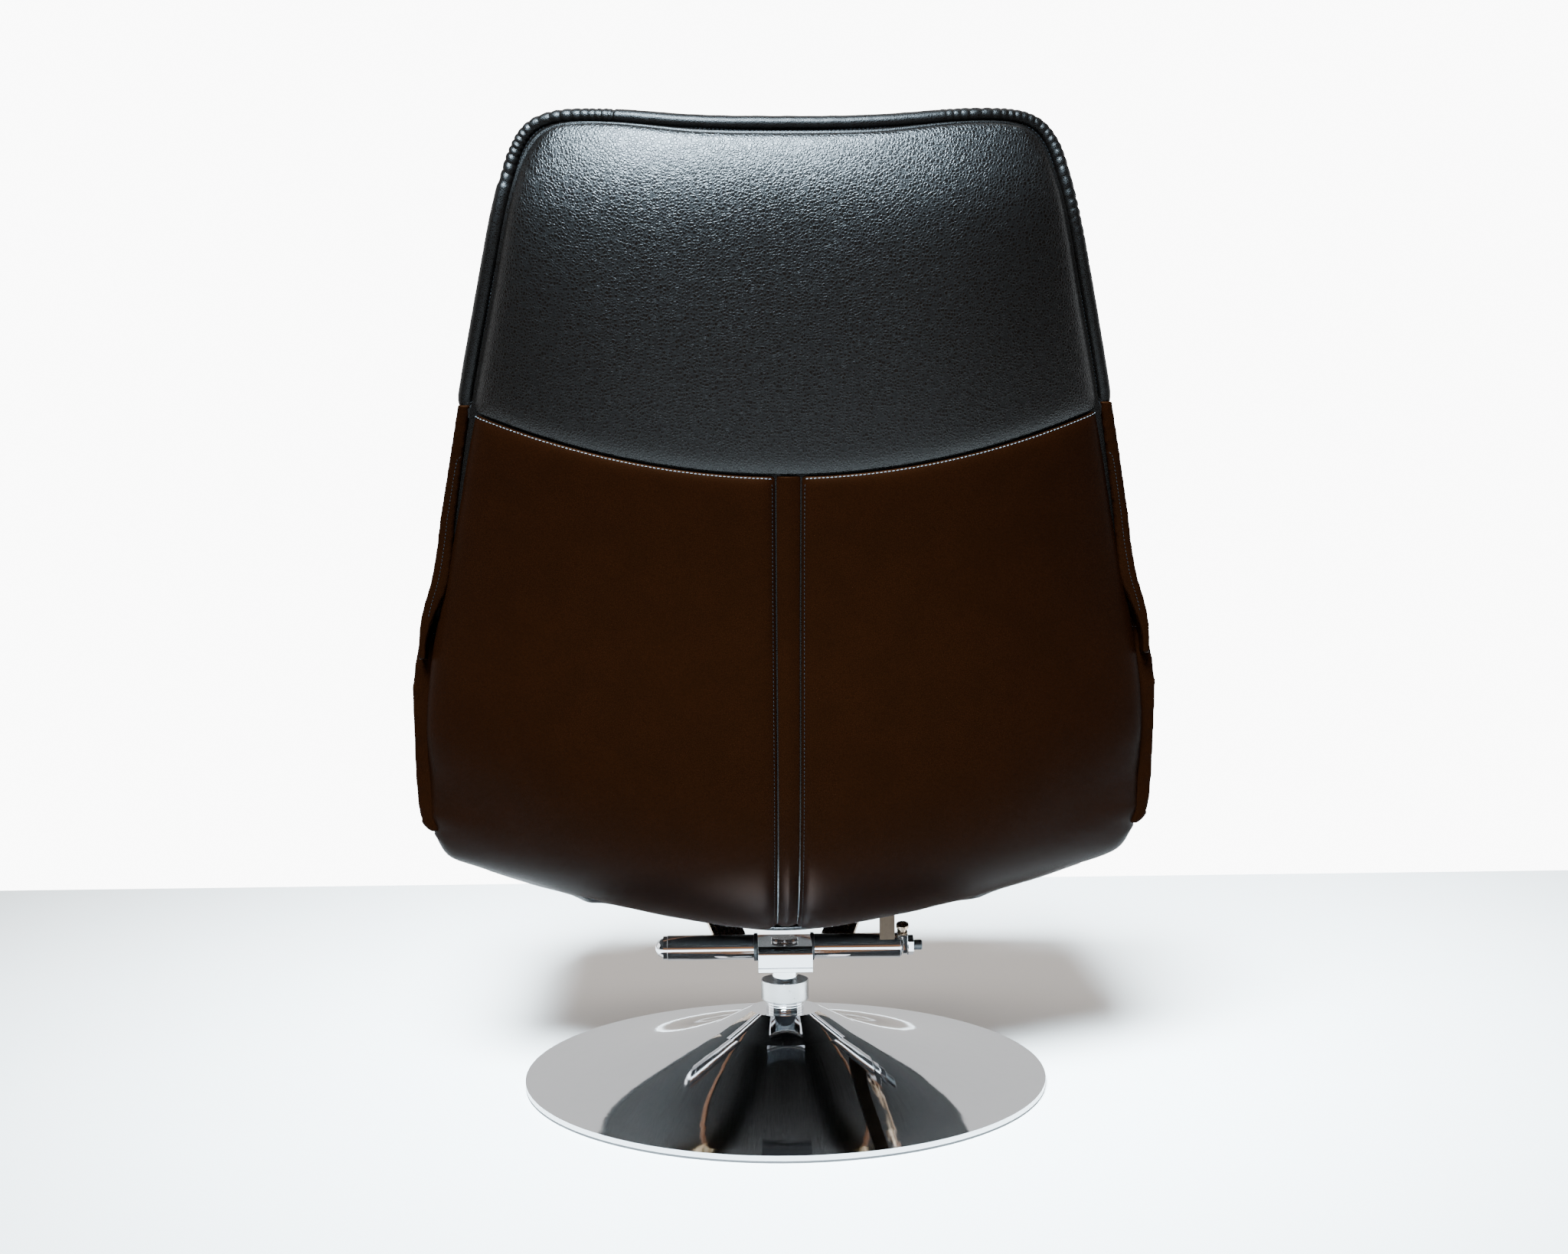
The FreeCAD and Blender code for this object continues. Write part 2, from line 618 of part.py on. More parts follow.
def make_swivel():
    node("spindle", make_spindle())
    node("upper_race", turned_ring("upper_race", s("journal_radius"), BORE + s("race_width"), BALL_TOP,
                                   UPPER_RACE_TOP))
    node("spindle_clip", turned_ring("spindle_clip", s("groove_radius"), s("clip_radius"), CLIP_BOTTOM,
                                     CLIP_TOP))
    node("swivel_bracket", make_swivel_bracket())
    node("bracket_spacer", turned_ring("bracket_spacer", s("cap_bolt_radius"), s("spacer_radius"),
                                       s("strap_bottom") + s("strap_thick"), STRAP_TOP - s("strap_thick")))
    node("cap_bolt", make_cap_bolt())
    node("tilt_axle", make_tilt_axle())
    node("axle_cap", make_axle_cap())
    for side, sign in (("left", -1), ("right", 1)):
        ends = sorted((sign * s("head_width") / 2, sign * (s("sleeve_start") - GAP)), key=lambda d: d.value)
        label = f"{side}_washer"
        node(label, at_pivot(turned_ring(label, s("axle_radius"), s("washer_radius"), *ends, "X")))
    node("disc_spring", make_disc_spring())
    node("tension_stud", make_tension_stud())
    node("star_washer", make_star_washer())
    node("tension_nut", make_tension_nut())
    node("stud_cap", make_stud_cap())


# ---------------------------------------------------------------- brake lever


def make_brake_lever():
    hub, half = s("lever_radius"), s("lever_tab_half")
    under, thick = s("lever_tab_start"), s("lever_tab_thick")
    body = slab("brake_lever", "YZ", [
        (-hub, 0, hub), (0, -hub, hub), (hub, 0), (half, under), (half, under + thick),
        (-half, under + thick), (-half, under),
    ], s("lever_thick"))
    pocket(body, "YZ", [(0, 0, s("stud_radius") + s("fit"))], "StudHole")
    edge = s("lever_thick") / 2
    tab = outline(body, "XZ", [
        (-edge - s("lever_tab_reach"), under), (edge, under), (edge, under + thick),
        (-edge - s("lever_tab_reach"), under + thick),
    ], "Tab")
    pad_on(body, tab, half * 2)
    return at_pivot(body, LEVER_START + edge, Vector(1, 0, 0), s("lever_lean"))


def make_lever_post():
    foot = s("lever_tab_start") + s("lever_tab_thick")
    stem = foot + s("post_foot_thick")
    head = stem + s("post_length")
    top = head + s("post_head_thick")
    body = lathe("lever_post", [
        (0, foot), (s("post_foot_radius"), foot), (s("post_foot_radius"), stem), (s("post_radius"), stem),
        (s("post_radius"), head), (s("post_head_radius"), head), (s("post_head_radius"), top),
        (s("key_radius"), top), (s("key_radius"), top - s("key_depth")), (0, top - s("key_depth")),
    ])
    across = LEVER_START + s("lever_thick") / 2 - s("post_inset")
    return at_pivot(body, across, Vector(1, 0, 0), s("lever_lean"))


def make_lever():
    node("brake_lever", make_brake_lever())
    node("lever_post", make_lever_post())


# ---------------------------------------------------------------- seat irons


def make_sleeves():
    """The two tubes that turn on the axle, each lined with a bush."""
    for side, sign in (("left", -1), ("right", 1)):
        ends = sorted((sign * s("sleeve_start"), sign * SLEEVE_END), key=lambda d: d.value)
        lining = s("axle_radius") + s("fit")
        bore = lining + s("sleeve_bush_thick")
        node(f"{side}_sleeve", at_pivot(
            turned_ring(f"{side}_sleeve", bore, s("sleeve_radius"), *ends, "X")))
        node(f"{side}_bush", at_pivot(turned_ring(f"{side}_bush", lining, bore, *ends, "X")))


def iron_top(along):
    """Height of a seat iron's upper face above the axle, at a distance along it past the elbow."""
    slope = (s("iron_tip_rise") - s("iron_rise")) / (s("iron_length") - s("iron_elbow"))
    return s("iron_rise") + s("iron_thick") + slope * (along - s("iron_elbow"))


def on_iron(thing, sign):
    """Puts an object in a seat iron's frame: +Y runs along the iron from the axle, splayed outward."""
    place(thing, sign * s("iron_inset"), PIVOT_Y, PIVOT_Z, Vector(0, 0, 1), -sign * s("iron_splay"))
    return thing


def sleeve_tool(side, sign):
    """A solid rod of the sleeve's outside, for cutting what is welded on to it."""
    rod = doc.addObject("Part::Cylinder", f"{side}_sleeve_rod")
    rod.setExpression("Radius", "Sizes.sleeve_radius")
    rod.setExpression("Height", s("sleeve_length").text)
    start = s("sleeve_start") if sign > 0 else -SLEEVE_END
    place(rod, start, PIVOT_Y, PIVOT_Z)
    rod.Placement.Rotation = FreeCAD.Rotation(Vector(0, 1, 0), 90)
    return rod


def iron_screws(side, sign):
    """Two screws square to the iron, up through the bearer into the moulded shell."""
    slope = (mm("iron_tip_rise") - mm("iron_rise")) / (mm("iron_length") - mm("iron_elbow"))
    frame = FreeCAD.Placement(
        Vector(sign * mm("iron_inset"), PIVOT_Y.value, PIVOT_Z.value),
        FreeCAD.Rotation(Vector(0, 0, 1), -sign * mm("iron_splay")))
    screw = screw_solid(mm("iron_screw_radius"), mm("iron_screw_head"), mm("iron_screw_length"),
                        mm("iron_screw_head_thick"))
    copies = []
    for i in range(2):
        along = mm("iron_screw_first") + i * mm("iron_screw_pitch")
        under = iron_top(along).value - mm("iron_thick")
        spot = FreeCAD.Placement(Vector(0, along, under),
                                 FreeCAD.Rotation(Vector(1, 0, 0), math.degrees(math.atan(slope))))
        copy = screw.copy()
        copy.Placement = frame.multiply(spot)
        copies.append(copy)
    return copies


def make_irons(above_cover):
    """Flat bars that rise from the sleeves and run forward under the seat, with wooden bearers."""
    thick, elbow = s("iron_thick"), s("iron_elbow")
    screws = {}
    for side, sign in (("left", -1), ("right", 1)):
        bar = slab(f"{side}_bar", "YZ", [
            (0, s("iron_root_rise")), (elbow, s("iron_rise")), (s("iron_length"), s("iron_tip_rise")),
            (s("iron_length"), s("iron_tip_rise") + thick), (elbow, s("iron_rise") + thick),
            (0, s("iron_root_rise") + thick),
        ], s("iron_width"))
        screws[side] = shaped(f"{side}_screws", Part.makeCompound(iron_screws(side, sign)))
        trimmed = boolean("Cut", f"{side}_bar_trimmed", on_iron(bar, sign), sleeve_tool(side, sign))
        node(f"{side}_seat_iron", boolean("Cut", f"{side}_seat_iron", trimmed, screws[side]))
        start = s("bearer_start")
        end = start + s("bearer_length")
        block = slab(f"{side}_block", "YZ", [
            (start, iron_top(start)), (end, iron_top(end)), (end, iron_top(end) + elbow),
            (start, iron_top(start) + elbow),
        ], s("bearer_width"))
        shaped_top = boolean("Cut", f"{side}_block_shaped", on_iron(block, sign), above_cover)
        node(f"{side}_bearer", boolean("Cut", f"{side}_bearer", shaped_top, screws[side]))
        node(f"{side}_iron_screws", screws[side])
    return screws


def make_seat_strut(above_cover):
    """An upright angle from the right sleeve to the seat's underside."""
    start, wide, half = s("strut_start"), s("strut_width"), s("strut_depth") / 2
    end = start + wide
    angle = slab("strut_angle", "XY", [
        (start, -half), (end, -half), (end, half), (end - s("strut_web"), half),
        (end - s("strut_web"), s("strut_flange") - half), (start, s("strut_flange") - half),
    ], 3 * s("iron_elbow"))
    angle = place(angle, 0, PIVOT_Y, PIVOT_Z)
    half_space = doc.addObject("Part::Box", "strut_half")
    for key, dim in (("Length", 2 * end), ("Width", 4 * half), ("Height", 2 * s("iron_elbow"))):
        half_space.setExpression(key, dim.text)
    place(half_space, 0, PIVOT_Y - 2 * half, PIVOT_Z)
    upper = boolean("Common", "strut_upper", angle, half_space)
    trimmed = boolean("Cut", "strut_trimmed", upper, sleeve_tool("strut", 1))
    node("seat_strut", boolean("Cut", "seat_strut", trimmed, above_cover))


# ---------------------------------------------------------------- moulded shell and rear covers

SIDE_STATIONS = [name for name, *_ in STATIONS if name + "_half" in SIZES]

# How far each station follows the shell's forward wrap and the keel's upward sweep towards the sides.
WRAP_SHARE = {"tuck": 0.95, "turn": 0.5, "keel": 0.0}
SWEEP_SHARE = {"hip": 0.2, "tuck": 0.62, "turn": 0.95, "keel": 1.0}


def rear_points(x):
    """Points down the shell's rear surface and forward along its underside, at a distance x off centre."""
    wrap = mm("back_wrap") * (abs(x) / mm("shell_half")) ** 3
    sweep = mm("trough_rise") * (abs(x) / mm("trough_half")) ** 1.5
    points = []
    for name, *_ in STATIONS:
        points.append(Vector(x, wrap * WRAP_SHARE.get(name, 1.0) - mm(name + "_behind"),
                             mm(name + "_height") + sweep * SWEEP_SHARE.get(name, 0.0)))
    keel = points[-1]
    rake = math.tan(math.radians(mm("seat_rake")))
    reach = mm("trough_front") + mm("seat_nose") - keel.y
    for share in (0.15, 0.55, 1.0):
        points.append(keel + Vector(0, reach * share, reach * share * rake))
    first, second = points[0], points[1]
    return [first + (first - second) * 0.5] + points


def spline(points):
    curve = Part.BSplineCurve()
    curve.interpolate(points)
    return curve


def offset_curve(x, distance, count=30):
    """The rear curve moved square to itself towards the sitter."""
    curve = spline(rear_points(x))
    first, last = curve.FirstParameter, curve.LastParameter
    points = []
    for i in range(count):
        parameter = first + (last - first) * i / (count - 1)
        along = curve.tangent(parameter)[0]
        points.append(curve.value(parameter) + Vector(0, -along.z, along.y) * distance)
    return points


def closed_wire(low, high):
    """A wire through one row of points and back through another, with straight ends."""
    edges = [spline(low).toShape(), Part.makeLine(low[-1], high[-1]),
             spline(list(reversed(high))).toShape(), Part.makeLine(high[0], low[0])]
    return Part.Wire(edges)


def band(near, far, steps=8):
    """The solid between two offsets of the rear surface, from side to side."""
    edge = mm("shell_half") + mm("strip_half")
    wires = []
    for i in range(steps + 1):
        x = edge * (2 * i / steps - 1)
        wires.append(closed_wire(offset_curve(x, near), offset_curve(x, far)))
    return Part.makeLoft(wires, True, False)


def at_height(height, measure):
    """A station's half width or padding depth at a height, straight between the stations."""
    rows = [(mm(f"{name}_height"), mm(f"{name}_{measure}")) for name in SIDE_STATIONS]
    for (high, value), (low, below) in zip(rows, rows[1:]):
        if height >= low:
            share = min((height - low) / (high - low), 1.0)
            return below + (value - below) * share
    return rows[-1][1]


def half_width(height):
    return at_height(height, "half")


def crown_height(x):
    return mm("crown_height") - mm("crown_dip") * max(0.0, 1 - (x / mm("crown_half")) ** 2)


def crown_path(out):
    """Points up the right side, over the crown and down the left, at a distance outside the shell."""
    corner = mm("crown_corner")
    side = [Vector(mm(name + "_half") + out, 0, mm(name + "_height"))
            for name in reversed(SIDE_STATIONS[1:])]
    turn = mm("crown_half") + out - corner * (1 - math.sqrt(0.5)) * 0.8
    side.append(Vector(turn, 0, crown_height(mm("crown_half")) + out - corner * (1 - math.sqrt(0.5))))
    reach = mm("crown_half") - corner
    top = [Vector(reach * share, 0, crown_height(reach * share) + out) for share in (1, 0.5, 0, -0.5, -1)]
    return side + top + [Vector(-p.x, 0, p.z) for p in reversed(side)]


def rear_outline(out=0.0):
    """The shell's outline seen from behind, as a face in the XZ plane: crown, corners, sides and foot."""
    path = crown_path(out)
    right = [Vector(mm("shell_half") + out, 0, mm("corner_height") + 2 * mm("shell_thick")),
             Vector(mm("corner_side") + out, 0, mm("corner_height")),
             Vector(mm("shell_foot") + out, 0, mm("corner_height") - mm("shell_thick")),
             Vector(mm("shell_foot") + out, 0, 0)]
    left = [Vector(-p.x, 0, p.z) for p in right]
    walk = [path[-1]] + left + list(reversed(right)) + [path[0]]
    return Part.Face(Part.Wire([spline(path).toShape(), Part.makePolygon(walk)]))


DEEP = 2000.0     # more than the chair's whole length, for prisms that cut right through it
SPARE = 35.0      # length that a curve keeps beyond the heights where it is cut


def prism(face, start=-DEEP / 2, depth=DEEP):
    """A face of the XZ plane drawn out along Y."""
    return face.translated(Vector(0, start, 0)).extrude(Vector(0, depth, 0))


def polygon(points):
    """A face of the XZ plane from (x, z) corners."""
    corners = [Vector(x, 0, z) for x, z in points]
    return Part.Face(Part.makePolygon(corners + corners[:1]))


def block(x0, x1, y0, y1, z0, z1):
    return Part.makeBox(x1 - x0, y1 - y0, z1 - z0, Vector(x0, y0, z0))


def seam_height(x):
    return mm("seam_height") - mm("seam_sag") * max(0.0, 1 - (x / mm("seam_half")) ** 2)


def seam_region(above, gap):
    """The half of the rear view over or under the cross seam."""
    edge = mm("shell_half") + mm("strip_half")
    shift = gap / 2 if above else -gap / 2
    line = [Vector(edge * i / 6, 0, seam_height(edge * i / 6) + shift) for i in range(-6, 7)]
    level = DEEP if above else -DEEP
    edges = [spline(line).toShape(), Part.makeLine(line[-1], Vector(edge, 0, level)),
             Part.makeLine(Vector(edge, 0, level), Vector(-edge, 0, level)),
             Part.makeLine(Vector(-edge, 0, level), line[0])]
    return prism(Part.Face(Part.Wire(edges)))


def make_rear_covers(skin):
    """The upper panel, the two lower panels and the strip between them, with open seams."""
    gap = mm("soft_gap")
    keel = -mm("keel_behind")
    upright = skin.common(block(-DEEP, DEEP, -DEEP, keel - gap, 0, DEEP))
    lower = upright.common(seam_region(False, gap))
    half = mm("strip_half")
    node("back_panel_upper", shaped("back_panel_upper", upright.common(seam_region(True, gap))))
    node("back_panel_left", shaped(
        "back_panel_left", lower.common(block(-DEEP, -half - gap, -DEEP, DEEP, 0, DEEP))))
    node("back_panel_right", shaped(
        "back_panel_right", lower.common(block(half + gap, DEEP, -DEEP, DEEP, 0, DEEP))))
    node("centre_strip", shaped(
        "centre_strip", lower.common(block(-half, half, -DEEP, DEEP, 0, DEEP))))


def largest(shape):
    """The biggest solid of a shape, without the slivers that a cut can leave."""
    return max(shape.Solids, key=lambda solid: solid.Volume)


def make_piping():
    """A round welt along the crown and down both sides of the upper panel, to the cross seam."""
    radius = mm("piping_radius")
    path = crown_path(radius + 2 * mm("soft_gap"))
    for point in path:
        wrap = mm("back_wrap") * (abs(point.x) / mm("shell_half")) ** 3
        point.y = rear_at(point.z) + wrap + radius
    wire = Part.Wire(spline(path).toShape())
    ring = Part.Wire(Part.makeCircle(radius, path[0], wire.Edges[0].tangentAt(wire.Edges[0].FirstParameter)))
    roll = wire.makePipeShell([ring], True, True)
    return shaped("crown_piping", largest(
        roll.common(block(-DEEP, DEEP, -DEEP, DEEP, mm("seam_height") + mm("soft_gap"), DEEP))))


def rear_at(height):
    """How far back the rear surface lies on the centre line at a height, as a Y value."""
    rows = [(mm(name + "_height"), -mm(name + "_behind")) for name, *_ in STATIONS]
    rows.insert(0, (2 * rows[0][0] - rows[1][0], 2 * rows[0][1] - rows[1][1]))
    for (high, back), (low, behind) in zip(rows, rows[1:]):
        if height >= low:
            return behind + (back - behind) * (height - low) / (high - low)
    return rows[-1][1]


# ---------------------------------------------------------------- cushions, armrests and wings


def shell_face(inset=0.0):
    """Distance from the shell's rear surface to what rests on its inner face."""
    return mm("skin_thick") + mm("shell_thick") + 2 * mm("soft_gap") + inset


def back_cushion(inset):
    """The padding in front of the shell, from just over the seat to the crown."""
    near = mm("skin_thick") + mm("shell_thick") / 2
    top = mm("crown_height") - mm("crown_dip") - inset
    bottom = mm("cushion_bottom") + inset
    edge = mm("shell_half")
    wires = []
    for i in range(-4, 5):
        x = edge * i / 4
        rear = [p for p in offset_curve(x, near, 60) if bottom - SPARE < p.z < top + SPARE]
        curve = spline(rear)
        low, high = clip_span(curve, bottom, top)
        behind = [curve.value(low + (high - low) * k / 12) for k in range(13)]
        front = [p + Vector(0, at_height(p.z, "depth") - near - inset, 0) for p in behind]
        wires.append(closed_wire(behind, front))
    solid = Part.makeLoft(wires, True, False).cut(under_pads(inset, DEEP))
    side = mm("cushion_half") - inset
    shelf = mm("side_top") + mm("soft_gap") + inset
    slack = mm("piping_radius") + inset
    crown = mm("crown_half") - mm("crown_corner") - slack
    upper = [(crown, DEEP), (crown, mm("crown_height"))]
    upper += [(mm(name + "_half") - slack, mm(name + "_height"))
              for name in SIDE_STATIONS[1:SIDE_STATIONS.index("elbow")]]
    upper.append((half_width(shelf) - slack, shelf))
    right = upper + [(side, shelf), (side, bottom)]
    left = [(-x, z) for x, z in reversed(right)]
    return largest(solid.common(prism(polygon(right + left))))


def clip_span(curve, bottom, top):
    """The two parameters where a falling curve passes the top and the bottom heights."""
    def seek(height):
        low, high = curve.FirstParameter, curve.LastParameter
        for _ in range(40):
            middle = (low + high) / 2
            if curve.value(middle).z > height:
                low = middle
            else:
                high = middle
        return (low + high) / 2
    return seek(top), seek(bottom)


def under_pads(inset, edge):
    """What lies under and behind the pads: the shell with its covers, and all beyond it."""
    return band(-2 * mm("wing_depth"), shell_face(inset)).common(
        block(-edge, edge, -DEEP, DEEP, -DEEP, DEEP))


def seat_cushion(inset):
    """The seat pad: it fills the shell between the armrests and laps over the shell's front edge."""
    half = mm("cushion_half") - inset
    rear, front = inset - mm("seat_rear"), mm("seat_front") - inset
    high_rear, high_front = mm("seat_top_rear") - inset, mm("seat_top_front") - inset
    nose = mm("seat_nose") - inset
    shoulder, tip = Vector(0, front - nose, high_front), Vector(0, front, high_front - nose)
    middle = Vector(0, front - nose * (1 - math.sqrt(0.5)), high_front - nose * (1 - math.sqrt(0.5)))
    foot, heel = Vector(0, front, 0), Vector(0, rear, 0)
    top = Vector(0, rear, high_rear)
    edges = [Part.makeLine(heel, top), Part.makeLine(top, shoulder),
             Part.Arc(shoulder, middle, tip).toShape(), Part.makeLine(tip, foot), Part.makeLine(foot, heel)]
    face = Part.Face(Part.Wire(edges)).translated(Vector(-half, 0, 0))
    solid = face.extrude(Vector(2 * half, 0, 0))
    edge = mm("shell_half") + mm("soft_gap")
    under = under_pads(inset, edge)
    if inset == 0.0:
        lip = mm("trough_front") + mm("soft_gap")
        under = under.common(block(-DEEP, DEEP, -DEEP, lip, -DEEP, DEEP))
        solid = solid.cut(band(-2 * mm("wing_depth"), -mm("soft_gap")))
    return largest(solid.cut(under))


def right_armrest(inset):
    """The right armrest, standing on the shell's edge and lapping outside it."""
    inner, outer = mm("side_inner") + inset, mm("side_outer") - inset
    low, high = mm("side_bottom") + inset, mm("side_top") - inset
    rear, front = inset - mm("side_rear") - 2 * mm("side_round"), mm("side_front") - inset
    bend = mm("side_round") - inset
    lean = mm("side_lean")
    section = polygon([(inner, low), (outer - lean, low), (outer, low + lean),
                       (outer, high - 2 * bend), (outer - lean, high), (inner, high)])
    quarter = bend * (1 - math.sqrt(0.5))
    edges = [Part.makeLine(Vector(0, rear, low), Vector(0, front - bend, low)),
             Part.Arc(Vector(0, front - bend, low), Vector(0, front - quarter, low + quarter),
                      Vector(0, front, low + bend)).toShape(),
             Part.makeLine(Vector(0, front, low + bend), Vector(0, front, high - bend)),
             Part.Arc(Vector(0, front, high - bend), Vector(0, front - quarter, high - quarter),
                      Vector(0, front - bend, high)).toShape(),
             Part.makeLine(Vector(0, front - bend, high), Vector(0, rear, high)),
             Part.makeLine(Vector(0, rear, high), Vector(0, rear, low))]
    side_view = Part.Face(Part.Wire(edges)).extrude(Vector(DEEP, 0, 0))
    solid = prism(section).common(side_view)
    edge = mm("shell_half") + mm("soft_gap") + inset
    heel, shoulder = inset - mm("side_rear"), inset - mm("side_rear") - mm("side_rear_rake")
    behind = [Vector(edge, heel, 0), Vector(edge, heel, low), Vector(edge, shoulder, high),
              Vector(edge, shoulder, DEEP), Vector(edge, -DEEP, DEEP), Vector(edge, -DEEP, 0)]
    wedge = Part.Face(Part.makePolygon(behind + behind[:1])).extrude(Vector(DEEP, 0, 0))
    return largest(solid.cut(under_pads(inset, edge)).cut(wedge))


def mirrored(shape):
    return shape.mirror(Vector(0, 0, 0), Vector(1, 0, 0))


def padded(label, build):
    """A leather cover with its foam core inside, both from the same shape at different insets."""
    thick = mm("cover_thick")
    return {label: build(0.0).cut(build(thick)), f"{label}_foam": build(thick + mm("soft_gap"))}


def wing(sign, clear_of_shell):
    """The padded side strip that rises from the armrest to the cross seam."""
    gap = mm("soft_gap")
    foot, waist, top = mm("side_top") + gap, mm("blade_height"), mm("seam_height") - gap
    wires = []
    for height, outer, deep in (
            (foot, mm("side_outer") - mm("side_lean"), mm("wing_depth")),
            (waist, half_width(waist) + mm("wing_lap"), mm("wing_waist_depth")),
            (top, half_width(top) + mm("wing_top_lap"), mm("wing_top_depth"))):
        inner = half_width(height) + gap
        back = rear_at(height) + mm("back_wrap") * (inner / mm("shell_half")) ** 3
        corners = [Vector(sign * inner, back, height), Vector(sign * outer, back + gap, height),
                   Vector(sign * outer, back + deep, height), Vector(sign * inner, back + deep, height)]
        wires.append(Part.makePolygon(corners + corners[:1]))
    return Part.makeLoft(wires, True, True).cut(clear_of_shell)


def make_soft_parts():
    pads = {**padded("seat_cushion", seat_cushion), **padded("back_cushion", back_cushion)}
    for label, shape in padded("armrest", right_armrest).items():
        pads[f"right_{label}"] = shape
        pads[f"left_{label}"] = mirrored(shape)
    for label, shape in pads.items():
        node(label, shaped(label, shape))
    clear_of_shell = prism(rear_outline(mm("soft_gap")))
    for side, sign in (("left", -1), ("right", 1)):
        node(f"{side}_wing", shaped(f"{side}_wing", largest(wing(sign, clear_of_shell))))


def make_seat():
    skin_far = mm("skin_thick")
    front = mm("trough_front")
    outline_solid = prism(rear_outline())
    narrow = mm("side_front") - mm("side_round")
    whole = block(-DEEP, DEEP, -DEEP, narrow, -DEEP, DEEP).fuse(
        block(-mm("cushion_half"), mm("cushion_half"), 0, front, -DEEP, DEEP))
    skin = band(0.0, skin_far).common(outline_solid).common(whole)
    shell = band(skin_far + mm("soft_gap"), skin_far + mm("soft_gap") + mm("shell_thick"))
    shell = shell.common(outline_solid).common(whole)
    above = shaped("above_cover", band(-mm("seat_gap"), mm("wing_depth")))
    make_sleeves()
    screws = make_irons(above)
    make_seat_strut(above)
    doc.recompute()
    make_rear_covers(skin)
    keel = -mm("keel_behind")
    belly = skin.common(block(-DEEP, DEEP, keel + mm("soft_gap"), DEEP, 0, DEEP))
    for tool in screws.values():
        shell = shell.cut(tool.Shape)
        belly = belly.cut(tool.Shape)
    node("seat_underside", shaped("seat_underside", belly))
    node("seat_shell", shaped("seat_shell", shell))
    node("crown_piping", make_piping())
    make_soft_parts()


def check_and_export():
    """Every object must have computed and every sub-part must be a valid solid before anything is written."""
    failed = [o.Label for o in doc.Objects if "Invalid" in o.State or "Error" in o.State]
    hollow = [label for label, thing in nodes.items()
              if thing.Shape.isNull() or not thing.Shape.isValid() or not thing.Shape.Solids]
    if failed or hollow:
        raise RuntimeError(f"failed objects {failed}, bad shapes {hollow}")
    os.makedirs("parts", exist_ok=True)
    for label, thing in nodes.items():
        thing.Shape.exportStep(f"parts/{label}.step")
    print(len(nodes), "sub-parts written")


make_base()
make_swivel()
make_lever()
make_seat()
doc.recompute()
check_and_export()
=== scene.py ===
"""Dresses the swivel recliner: upholstery, stitching, metal finishes and a plain studio.

+Z is up, +Y is the way the sitter faces, lengths are metres, and the frame sets every place.
"""

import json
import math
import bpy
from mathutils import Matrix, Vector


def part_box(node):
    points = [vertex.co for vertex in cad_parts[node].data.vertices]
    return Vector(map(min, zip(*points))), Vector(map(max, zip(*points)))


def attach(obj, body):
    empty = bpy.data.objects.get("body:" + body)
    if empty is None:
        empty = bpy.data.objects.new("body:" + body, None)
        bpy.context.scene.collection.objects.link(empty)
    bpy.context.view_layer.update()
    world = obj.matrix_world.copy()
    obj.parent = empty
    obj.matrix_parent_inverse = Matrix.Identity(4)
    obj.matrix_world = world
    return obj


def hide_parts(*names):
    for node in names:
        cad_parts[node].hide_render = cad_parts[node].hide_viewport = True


bl_info = {
    "name": "Swivel Recliner",
    "version": (1, 0, 0),
    "blender": (4, 5, 0),
    "location": "View3D > Sidebar > Recliner",
    "description": "Leather upholstery, metal finishes and a studio for a high-backed swivel recliner",
    "category": "Object",
}

import bmesh
import bpy
from mathutils import Matrix, Vector, noise
from mathutils.bvhtree import BVHTree
from mathutils.kdtree import KDTree

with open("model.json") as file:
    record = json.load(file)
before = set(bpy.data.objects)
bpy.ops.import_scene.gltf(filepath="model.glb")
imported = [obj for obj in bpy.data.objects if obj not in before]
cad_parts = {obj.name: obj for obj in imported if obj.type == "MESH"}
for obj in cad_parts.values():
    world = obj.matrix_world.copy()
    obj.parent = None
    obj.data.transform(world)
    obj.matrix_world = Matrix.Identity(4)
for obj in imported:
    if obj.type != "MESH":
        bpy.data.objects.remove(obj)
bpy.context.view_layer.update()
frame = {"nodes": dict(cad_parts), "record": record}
NODES = frame["nodes"]
MM = 0.001
LEATHER_THICK = 1.2 * MM


# ---------------------------------------------------------------- settings


class LeatherSettings(bpy.types.PropertyGroup):
    upper_colour: bpy.props.FloatVectorProperty(
        name="Upper Leather", description="Colour of the grained leather on the head panel and pads",
        subtype="COLOR", size=4, default=(0.00045, 0.00025, 0.00015, 1.0))
    # The lower leather's warm brown is partly its own brown-black and partly a painted reflection of a warm
    # floor.
    lower_colour: bpy.props.FloatVectorProperty(
        name="Lower Leather", description="Colour of the smoother leather on the lower back",
        subtype="COLOR", size=4, default=(0.0021, 0.0006, 0.0002, 1.0))
    thread_colour: bpy.props.FloatVectorProperty(
        name="Thread", description="Colour of the top stitching",
        subtype="COLOR", size=4, default=(0.07, 0.08, 0.09, 1.0))
    dark_thread_colour: bpy.props.FloatVectorProperty(
        name="Dark Thread", description="Colour of the stitching along the piping, strip and pads",
        subtype="COLOR", size=4, default=(0.004, 0.0045, 0.005, 1.0))
    underside_colour: bpy.props.FloatVectorProperty(
        name="Underside", description="Colour of the leathercloth under the seat",
        subtype="COLOR", size=4, default=(0.11, 0.05, 0.028, 1.0))
    panel_swell: bpy.props.FloatProperty(
        name="Panel Swell", description="How far the padding lifts a panel above its seams",
        default=5.0 * MM, unit="LENGTH")
    stitch_pitch: bpy.props.FloatProperty(
        name="Stitch Pitch", description="Distance from one stitch to the next",
        default=4.2 * MM, unit="LENGTH")
    stitch_length: bpy.props.FloatProperty(
        name="Stitch Length", description="Length of thread that shows in one stitch",
        default=3.2 * MM, unit="LENGTH")
    stitch_radius: bpy.props.FloatProperty(
        name="Thread Radius", description="Half the thickness of the thread",
        default=0.42 * MM, unit="LENGTH")


